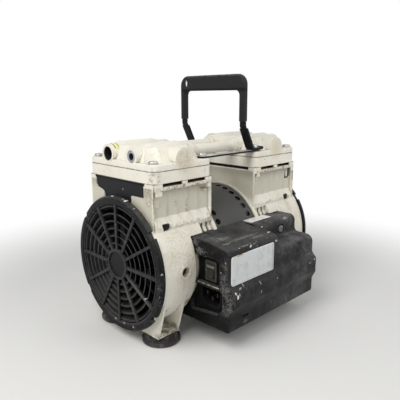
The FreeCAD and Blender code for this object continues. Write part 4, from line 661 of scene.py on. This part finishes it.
strapLook = {"paint": (0.01, 0.01, 0.011), "worn": (0.12, 0.115, 0.105), "top": (0.44, 0.425, 0.395),
             "bright": (0.8, 0.79, 0.75), "brightEnd": (-0.02, -0.036)}


def strapWearAndHighlight(f, colour):
    # the top of the strap is lighter, partly wear and partly painted highlight, brightest at its front end;
    # its edges stay black
    top = f.facing("Z").step(0.6, 0.9) * f.patches(110, 5, 0.7, 0.22, 0.52)
    colour = f.mix(top * 0.85, colour, strapLook["top"])
    return f.mix(top * f.along("X").step(*strapLook["brightEnd"]) * 0.8, colour, strapLook["bright"])


shellLook = {"paint": (0.08, 0.08, 0.079), "worn": (0.22, 0.21, 0.2), "inside": (0.0653, 0.065)}


def shellInsideShade(f, colour):
    # painted shade: the inside of the stator shell, which its holes show, is darkened to black
    away = f.along("Y").hypot(f.along("Z") - shaftHeight)
    return f.mix(away.step(*shellLook["inside"]), colour, blackLook["deep"])


# creamPaint takes dirt, hollow shade, marks, runs, pocket shade; blackPlastic wear, edge, dust, chips, base,
# extra;
# paintedSteel paint, worn, roughness, wear, edge, extra; the others two colours and a roughness
finishes = {
    "casting": creamPaint("castingPaint", 1.0, housingHollowShade, castingMarks, 0.35, pocketShadeMask),
    "plate": creamPaint("platePaint", 1.1, None, headMarks, 0.0),
    "head": creamPaint("headPaint", 0.75, portBoreShade, headMarks, 0.2),
    "tube": creamPaint("tubePaint", 0.7, None, (), 0.0),
    "cover": blackPlastic("coverPlastic", 1.0, 0.0012, 0.6, coverChips, None, coverEdges),
    "guard": blackPlastic("guardPlastic", 0.85, 0.0005, 1.8, guardChips, guardLook["base"], guardShadeAndHighlight),
    "grip": blackPlastic("gripPlastic", 0.15, 0.0004, 0.15, gripChips, gripLook["base"], gripHighlightAndShade),
    "switchBody": blackPlastic("switchPlastic", 0.9, 0.0003, 0.5, (), (0.048, 0.047, 0.039)),
    "rocker": blackPlastic("rockerPlastic", 0.35, 0.0003, 0.5, (), rockerLook["base"], rockerHighlight),
    "inlet": blackPlastic("inletPlastic", 0.1, 0.0003, 0.1, (), blackLook["deep"]),
    "fan": blackPlastic("fanPlastic", 0.1, 0.0004, 0.1, (), blackLook["deep"]),
    "rubber": darkRubber("footRubber"),
    "shell": paintedSteel("shellPaint", shellLook["paint"], shellLook["worn"], 0.42, 0.5, 0.0005,
                          shellInsideShade),
    "baffle": paintedSteel("bafflePaint", baffleLook["paint"], baffleLook["worn"], 0.55, 0.15, 0.0005,
                           baffleShade),
    "bail": paintedSteel("bailPaint", (0.005, 0.005, 0.007), (0.08, 0.075, 0.07), 0.38, 0.25),
    "strap": paintedSteel("strapPaint", strapLook["paint"], strapLook["worn"], 0.4, 0.4, 0.0004, strapWearAndHighlight),
    "zinc": metalFinish("zincScrews", (0.52, 0.515, 0.495), (0.16, 0.135, 0.1), 0.34),
    "coverScrew": metalFinish("coverScrewZinc", (0.26, 0.255, 0.25), (0.06, 0.055, 0.05), 0.42),
    "steel": metalFinish("groundSteel", (0.58, 0.58, 0.58), (0.3, 0.29, 0.28), 0.24, 0.8),
    "bushing": metalFinish("nickelBushing", (0.4, 0.41, 0.43), (0.12, 0.12, 0.13), 0.36),
    "iron": plainFinish("castIron", (0.12, 0.115, 0.11), (0.19, 0.18, 0.17), 0.6, 200, 0.6),
    "core": plainFinish("varnishedCore", (0.012, 0.012, 0.012), (0.028, 0.026, 0.024), 0.6, 200),
    "aluminium": metalFinish("bareAluminium", (0.7, 0.7, 0.7), (0.4, 0.4, 0.39), 0.38),
    "copper": plainFinish("windingCopper", (0.055, 0.022, 0.01), (0.1, 0.04, 0.016), 0.35, 500, 0.3,
                          0.0001),
    "brass": metalFinish("brassPins", (0.06, 0.056, 0.046), (0.02, 0.018, 0.014), 0.45),
    "ptfe": plainFinish("cupBrown", (0.1, 0.065, 0.04), (0.14, 0.09, 0.055), 0.55),
    "gasket": plainFinish("gasketPaper", (0.14, 0.115, 0.085), (0.27, 0.23, 0.17), 0.85),
    "capacitor": plainFinish("capacitorCase", (0.03, 0.03, 0.032), (0.05, 0.05, 0.052), 0.4),
}


def pair(name):
    # the same node at both ends
    return ["front_" + name, "rear_" + name]


wearers = {
    "casting": pair("housing"), "plate": pair("valve_plate"), "head": pair("head"),
    "tube": ["intake_tube", "exhaust_tube", "port_plugs"],
    "cover": ["electrical_cover"], "guard": pair("fan_guard"), "grip": ["handle_grip"],
    "switchBody": ["switch_body"], "rocker": ["switch_rocker"], "inlet": ["power_inlet"], "fan": pair("fan"),
    "rubber": ["rubber_feet", "housing_plugs", "sleeve_seals"],
    "shell": ["stator_shell"], "baffle": pair("baffle"), "bail": ["handle_bail"], "strap": ["head_straps"],
    "zinc": ["head_screws", "foot_studs", "tie_bolts", "fan_clips", "set_screws", "reed_screws"],
    "coverScrew": ["cover_screws"],
    "steel": ["main_shaft", "main_bearing_outer_rings", "bearing_inner_rings", "exhaust_keepers",
              *pair("rod_bearing"), *pair("intake_reed"), *pair("exhaust_reed")],
    "bushing": ["exhaust_bushing"], "iron": ["rotor_core", *pair("eccentric")], "core": ["stator_core"],
    "aluminium": [*pair("rod"), *pair("cup_retainer"), *pair("cylinder_sleeve")],
    "copper": ["stator_windings"], "brass": ["inlet_pins"], "ptfe": pair("piston_cup"),
    "gasket": ["head_gaskets"], "capacitor": ["capacitor"],
}
for finish, names in wearers.items():
    for name in names:
        slots = nodes[name].data.materials
        if not slots:
            slots.append(None)
        for number in range(len(slots)):
            slots[number] = finishes[finish]
unfinished = sorted(set(nodes) - {name for names in wearers.values() for name in names})
print("nodes with a finish:", len(nodes) - len(unfinished), "left out:", unfinished)


def wovenQuads(rows, columns):
    # the quads between neighbouring rows of a grid that closes round its columns
    row, column = np.meshgrid(np.arange(rows - 1), np.arange(columns), indexing="ij")
    after = (column + 1) % columns
    quads = np.stack([row * columns + column, row * columns + after, (row + 1) * columns + after,
                      (row + 1) * columns + column], -1)
    return quads.reshape(-1, 4).tolist()


def meshFrom(name, grid, finish, body="pump_body", smooth=True):
    # a closed skin from a (rows, columns, 3) grid, its first and last rows capped
    rows, columns = grid.shape[:2]
    faces = wovenQuads(rows, columns)
    faces.append(list(range(columns))[::-1])
    faces.append(list(range((rows - 1) * columns, rows * columns)))
    mesh = bpy.data.meshes.new(name)
    mesh.from_pydata(grid.reshape(-1, 3).tolist(), [], faces)
    mesh.update()
    mesh.materials.append(finish)
    mesh.polygons.foreach_set("use_smooth", np.full(len(mesh.polygons), smooth))
    piece = bpy.data.objects.new(name, mesh)
    scene.collection.objects.link(piece)
    if body:
        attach(piece, body)
    return piece


def roundedOutline(halfWidth, halfHeight, corner, count):
    # a rectangle with round corners, walked once round: (count, 2)
    turn = np.linspace(0, 2 * np.pi, 4 * count, endpoint=False)
    quarter = np.floor(turn / (np.pi / 2)).astype(int) % 4
    signs = np.array([(1, 1), (-1, 1), (-1, -1), (1, -1)])[quarter]
    centre = signs * np.array([halfWidth - corner, halfHeight - corner])
    dense = centre + corner * np.stack([np.cos(turn), np.sin(turn)], -1)
    dense = np.vstack([dense, dense[:1]])
    # the straight sides get their share of the points too
    strides = np.linalg.norm(np.diff(dense / (halfWidth, halfHeight), axis=0), axis=1)
    walked = np.concatenate([[0.0], np.cumsum(strides)])
    stops = np.linspace(0, walked[-1], count, endpoint=False)
    return np.stack([np.interp(stops, walked, dense[:, 0]), np.interp(stops, walked, dense[:, 1])], -1)


sheetLook = {"rings": 9, "smallest": 0.02, "underside": 0.00002}


def sheetOutline(left, right, low, high, look):
    # the middle and the rounded outline of a sheet between four sides
    middle = np.array([left + right, low + high]) / 2
    halfWidth, halfHeight = (right - left) / 2, (high - low) / 2
    return middle, middle + roundedOutline(halfWidth, halfHeight, look["corner"], look["points"])


def thinSheet(name, outline, middle, lay, thickness, finish):
    # rings grow from the middle to the outline on the upper face and shrink back on the lower one;
    # lay(u, v, rise) puts sheet coordinates on the surface that carries the sheet, and the outline is walked
    # so that the faces point outwards
    rings, smallest = sheetLook["rings"], sheetLook["smallest"]
    share = np.concatenate([np.linspace(smallest, 1.0, rings), np.linspace(1.0, smallest, rings)])
    rise = np.repeat([thickness, sheetLook["underside"]], rings)
    flat = middle + share[:, None, None] * (outline - middle)
    u, v = flat[..., 0], flat[..., 1]
    return meshFrom(name, lay(u, v, rise[:, None] + 0 * u), finish)


labelLook = {
    "sides": (-0.0685, 0.0007, 0.0724, 0.1029), "corner": 0.0026, "thickness": 0.00028,
    "plate": (0.58, 0.605, 0.61), "scuff": (0.42, 0.435, 0.435), "rim": (0.78, 0.79, 0.78),
    "stain": (0.33, 0.22, 0.1), "stainAt": (-56, -110.5, 103.2), "stainReach": (14, 10, 2.2),
    "tornAbove": 0.1005, "tornBefore": -0.028, "tornDepth": 0.0007, "tornWaves": (5200, 2300),
    "points": 240, "grain": 0.00002,
}
# the cover's front in section: its plane, the two heights where it bends, and the slopes beyond them
coverLine = {"front": -0.1105, "bulgeZ": 0.0735, "frontZ": 0.1085, "corner": 0.006, "arcPoints": 13,
             "bulgeSlope": (-0.0075, -0.0085), "ridgeSlope": (0.0205, 0.004)}


def coverFrontLine():
    # the front of the cover in section, from the bulge up over the top edge, as (y, z) rows
    def arc(corner, first, second, radius):
        # a circle's arc that touches both directions out of the corner
        first, second = first / np.hypot(*first), second / np.hypot(*second)
        half = np.arccos(np.dot(first, second)) / 2
        hub = corner + (first + second) / np.hypot(*(first + second)) * radius / np.sin(half)
        start, end = (corner + side * radius / np.tan(half) - hub for side in (first, second))
        share = np.linspace(0, 1, coverLine["arcPoints"])[:, None]
        chord = start * (1 - share) + end * share
        return hub + chord / np.linalg.norm(chord, axis=1, keepdims=True) * radius
    front, up = coverLine["front"], np.array([0.0, 1.0])
    bulge, ridge = np.array(coverLine["bulgeSlope"]), np.array(coverLine["ridgeSlope"])
    low = arc(np.array([front, coverLine["bulgeZ"]]), bulge, up, coverLine["corner"])
    high = arc(np.array([front, coverLine["frontZ"]]), -up, ridge, coverLine["corner"])
    return np.vstack([low[0] + bulge / 2, low, high, high[-1] + ridge / 2])


def layOnCover(u, v, rise):
    # u runs along the shaft, v is the height; the sheet follows the cover's front line
    line, reach = coverFrontLine(), 0.0005
    y, above, below = (np.interp(v + step, line[:, 1], line[:, 0]) for step in (0, reach, -reach))
    slope = (above - below) / (2 * reach)
    length = np.sqrt(1 + slope ** 2)
    return np.stack([u, y - rise / length, v + rise * slope / length], -1)


def labelPlate():
    # a blank plate bent over the cover's front line
    look = labelLook
    left, right, low, high = look["sides"]
    middle, outline = sheetOutline(left, right, low, high, look)
    # the upper left edge is a little ragged
    torn = (np.clip((outline[:, 1] - look["tornAbove"]) / 0.002, 0, 1)
            * np.clip((look["tornBefore"] - outline[:, 0]) / 0.02, 0, 1))
    coarse, fine = look["tornWaves"]
    wave = np.abs(np.sin(outline[:, 0] * coarse) * 0.6 + np.sin(outline[:, 0] * fine + 1.0) * 0.4)
    outline[:, 1] = outline[:, 1] - torn * wave * look["tornDepth"]
    f = Finish("labelFoil")
    scuffs = f.patches(130, 5, 0.65, 0.46, 0.66) * 0.55
    lines = f.scratches(900, 22, (0.2, 0.5, 0.3), 0.05) * 0.6
    colour = f.mix(scuffs.over(lines), look["plate"], look["scuff"])
    # a pale rim along the four edges
    across, height = f.along("X"), f.along("Z")
    edge = across.step(left + 0.0011, left + 0.0005).over(across.step(right - 0.001, right - 0.0005))
    edge = edge.over(height.step(low + 0.001, low + 0.0005)).over(height.step(high - 0.0009, high - 0.0004))
    colour = f.mix(edge * 0.8, colour, look["rim"])
    stain = f.spot(look["stainAt"], look["stainReach"], 0.8) * f.patches(420, 4, 0.6, 0.42, 0.6)
    colour = f.mix(stain, colour, look["stain"])
    finish = f.shade(colour, 0.36 + scuffs * 0.2, 0.0, f.noise(500, 3, 0.5), look["grain"])
    thinSheet("labelPlate", outline[::-1], middle, layOnCover, look["thickness"], finish)


stickerLook = {"sides": (0.011, 0.049, -0.0712, -0.0582), "top": 0.1145, "corner": 0.0008,
               "thickness": 0.00015, "points": 120, "grain": 0.00002,
               "paper": (0.8, 0.8, 0.78), "dirt": (0.52, 0.5, 0.46)}


def topSticker():
    # a blank sheet, flat on the cover's top
    look = stickerLook
    middle, outline = sheetOutline(*look["sides"], look)
    f = Finish("stickerPaper")
    colour = f.mix(f.patches(150, 5, 0.65, 0.42, 0.68) * 0.6, look["paper"], look["dirt"])
    finish = f.shade(colour, 0.55, 0.0, f.noise(600, 2, 0.5), look["grain"])

    def lay(u, v, rise):
        return np.stack([u, v, look["top"] + rise], -1)

    thinSheet("topSticker", outline[::-1], middle, lay, look["thickness"], finish)


# x and y are distances from the column's middle; the step's rows are heights above its foot
cornerLook = {
    "axis": -0.0768, "flute": 0.0288, "fluteReach": 0.0125, "radius": 0.013, "hub": 0.0614, "floor": 0.0502,
    "inner": 0.0275, "outer": 0.0382, "low": 0.1478, "rise": 0.1512, "top": 0.1656, "wall": 0.0007,
    "ramp": 0.0022, "lift": 0.0001, "gap": 0.00004, "points": 25,
    "stepInner": 0.0302, "stepBack": 0.0499, "stepFront": 0.0557, "stepLow": 0.1606, "stepCorner": 0.0006,
    "stepRows": (0.0, 0.0004, 0.004, 0.0049), "stepShrink": (0.0005, 0.0, 0.0, 0.0), "stepPoints": 48,
}


def eased(share):
    # 0 to 1 with level ends
    share = np.clip(share, 0, 1)
    return share * share * (3 - 2 * share)


def frontCorner(side, where):
    # the fan-end corner of the front column is closed: its wall is the pocket's fluted floor, which rises
    # smoothly to the level of the corner, and a square step hangs from the lip before it
    look = cornerLook
    x = np.linspace(look["inner"], look["outer"], look["points"])
    z = np.linspace(look["low"], look["top"], look["points"])[:, None]
    off = np.clip(x - look["flute"], -look["fluteReach"], look["fluteReach"])
    base = np.minimum(look["hub"] - np.sqrt(look["radius"] ** 2 - off ** 2), look["floor"])
    lift = eased((x - look["inner"]) / look["ramp"]) * eased((z - look["low"]) / (look["rise"] - look["low"]))
    y = base + (look["floor"] + look["lift"] - base) * lift + look["gap"]
    outer = np.stack([look["axis"] - x + 0 * y, side * y, z + 0 * y], -1)
    inner = outer - np.array([0.0, side * look["wall"], 0.0])
    ring = np.concatenate([outer, inner[:, ::-1]], axis=1)
    wall = meshFrom("frontCornerWall" + where, ring[::side], finishes["casting"], smooth=False)
    middle = np.array([look["stepInner"] + look["outer"], look["stepBack"] + look["stepFront"]]) / 2
    half = np.array([look["outer"] - look["stepInner"], look["stepFront"] - look["stepBack"]]) / 2
    outline = middle + np.stack([roundedOutline(*(half - shrink), look["stepCorner"], look["stepPoints"])
                                 for shrink in look["stepShrink"]])
    height = (look["stepLow"] + np.array(look["stepRows"]))[:, None] + 0 * outline[..., 0]
    block = np.stack([look["axis"] - outline[..., 0], side * outline[..., 1], height], -1)
    step = meshFrom("frontLipStep" + where, block[::-side], finishes["casting"], smooth=False)


bandLook = {"yellow": (0.8, 0.76, 0.16), "pale": (0.86, 0.85, 0.45), "black": (0.012, 0.012, 0.01),
            "bossRadius": 0.01, "width": 0.0054, "rim": 0.0009, "corner": 0.0005, "gap": 0.00003,
            "thickness": 0.00012, "points": 160,
            "turn": (-32, 55), "places": (-0.1096, 0.1105)}


def portBands():
    # short yellow bands with black edges, each wrapped over the top of a port boss
    look = bandLook
    for number, place in enumerate(look["places"]):
        f = Finish("bandFoil" + str(number))
        half = look["width"] / 2
        edge = f.along("X").near(place, half - look["rim"], half - look["rim"] + 0.0002)
        colour = f.mix(f.patches(200, 3, 0.6, 0.4, 0.7) * 0.6, look["yellow"], look["pale"])
        finish = f.shade(f.mix(edge, colour, look["black"]), 0.4)
        middle, outline = sheetOutline(place - half, place + half, *np.radians(look["turn"]), look)

        def lay(u, v, rise):
            # v is the angle from the top of the boss towards the cover side
            radius = look["bossRadius"] + look["gap"] + rise
            return np.stack([u, portY - radius * np.sin(v), portZ + radius * np.cos(v)], -1)

        thinSheet("portBand" + str(number), outline, middle, lay, look["thickness"], finish)


frontCorner(-1, "Near")
frontCorner(1, "Far")
labelPlate()
topSticker()
portBands()
print("front corners closed, label, stickers and bands laid on")

stageLook = {"floor": (0.8, 0.8, 0.79), "near": 0.24, "far": 0.55, "radius": 6.0, "depth": 0.02,
             "points": 96}


def paleFloor():
    # a round slab whose top is the floor plane; it fades to plain white away from the pump
    look = stageLook
    turn = np.linspace(0, 2 * np.pi, look["points"], endpoint=False)
    ring = np.stack([np.cos(turn), np.sin(turn), 0 * turn], -1)
    radii = np.array([0.001, look["radius"], look["radius"], 0.5, 0.001])
    height = -look["depth"] * np.array([1, 1, 0, 0, 0])
    grid = ring * radii[:, None, None] + np.array([0, 0, 1.0]) * height[:, None, None]
    f = Finish("paleFloor")
    away = f.length(f.place).step(look["near"], look["far"])
    flat = f.node("BsdfDiffuse", None, {"Color": look["floor"]})
    glow = f.node("Emission", None, {"Color": (1, 1, 1), "Strength": 1.0})
    both = f.node("MixShader", None, {"Fac": away, "Shader": flat.outputs[0], "Shader_001": glow.outputs[0]})
    f.node("OutputMaterial", None, {"Surface": both.outputs[0]})
    meshFrom("floor", grid, f.material, None, False)


paleFloor()

# the world lights the pump softly; the camera, metal and glass see plain white
worldLook = {"soft": ((0.97, 0.98, 1.0), 0.4), "seen": ((1.0, 1.0, 1.0), 1.0)}


def softWorld():
    world = bpy.data.worlds.new("studio")
    scene.world = world
    world.use_nodes = True
    sky = NodeTree(world.node_tree)
    path = sky.node("LightPath").outputs
    camera, glossy, transmitted = (Amount(sky, path["Is %s Ray" % kind]) for kind in
                                   ("Camera", "Glossy", "Transmission"))
    soft, seen = (sky.node("Background", None, {"Color": colour, "Strength": strength}).outputs[0]
                  for colour, strength in (worldLook["soft"], worldLook["seen"]))
    both = sky.node("MixShader", None, {"Fac": camera.over(glossy).over(transmitted), "Shader": soft,
                                        "Shader_001": seen})
    sky.node("OutputWorld", None, {"Surface": both.outputs[0]})


softWorld()

lampAim = Vector((0.0, 0.0, 0.12))
lamps = {
    "keyLamp": {"place": (-0.68, -0.16, 0.86), "size": 0.7, "watts": 6.7, "colour": (1.0, 0.985, 0.95)},
    "sideLamp": {"place": (0.25, -1.0, 0.75), "size": 0.9, "watts": 3.8, "colour": (1.0, 0.985, 0.95)},
}
for name, look in lamps.items():
    data = bpy.data.lights.new(name, "AREA")
    data.shape = "DISK"
    data.size = look["size"]
    data.energy = look["watts"]
    data.color = look["colour"]
    lamp = bpy.data.objects.new(name, data)
    lamp.location = look["place"]
    lamp.rotation_euler = (Vector(look["place"]) - lampAim).to_track_quat("Z", "Y").to_euler()
    scene.collection.objects.link(lamp)

# solved from the photograph's own edges; angles in degrees
cameraLook = {
    "yaw": -45.025, "elevation": 12.548, "roll": -0.202, "place": (-0.389687, -0.388981, 0.254229),
    "focalPixels": 462.835, "imageWidth": 400, "sensorWidth": 36.0, "clipStart": 0.01,
}


def photoCamera():
    # yaw, elevation and roll give the camera's three axes
    yaw, tilt, roll = (math.radians(cameraLook[key]) for key in ("yaw", "elevation", "roll"))
    back = Vector((math.sin(yaw) * math.cos(tilt), -math.cos(yaw) * math.cos(tilt), math.sin(tilt)))
    right = Vector((math.cos(yaw), math.sin(yaw), 0.0))
    up = back.cross(right)
    level = right * math.cos(roll) + up * math.sin(roll)
    up = up * math.cos(roll) - right * math.sin(roll)
    data = bpy.data.cameras.new("photoCamera")
    data.sensor_width = cameraLook["sensorWidth"]
    data.lens = cameraLook["focalPixels"] / cameraLook["imageWidth"] * cameraLook["sensorWidth"]
    data.clip_start = cameraLook["clipStart"]
    camera = bpy.data.objects.new("photoCamera", data)
    turned = Matrix((level, up, back)).transposed().to_4x4()
    camera.matrix_world = Matrix.Translation(cameraLook["place"]) @ turned
    scene.collection.objects.link(camera)
    scene.camera = camera


photoCamera()
scene.view_settings.view_transform = "Standard"
print("camera, lamps and floor ready")
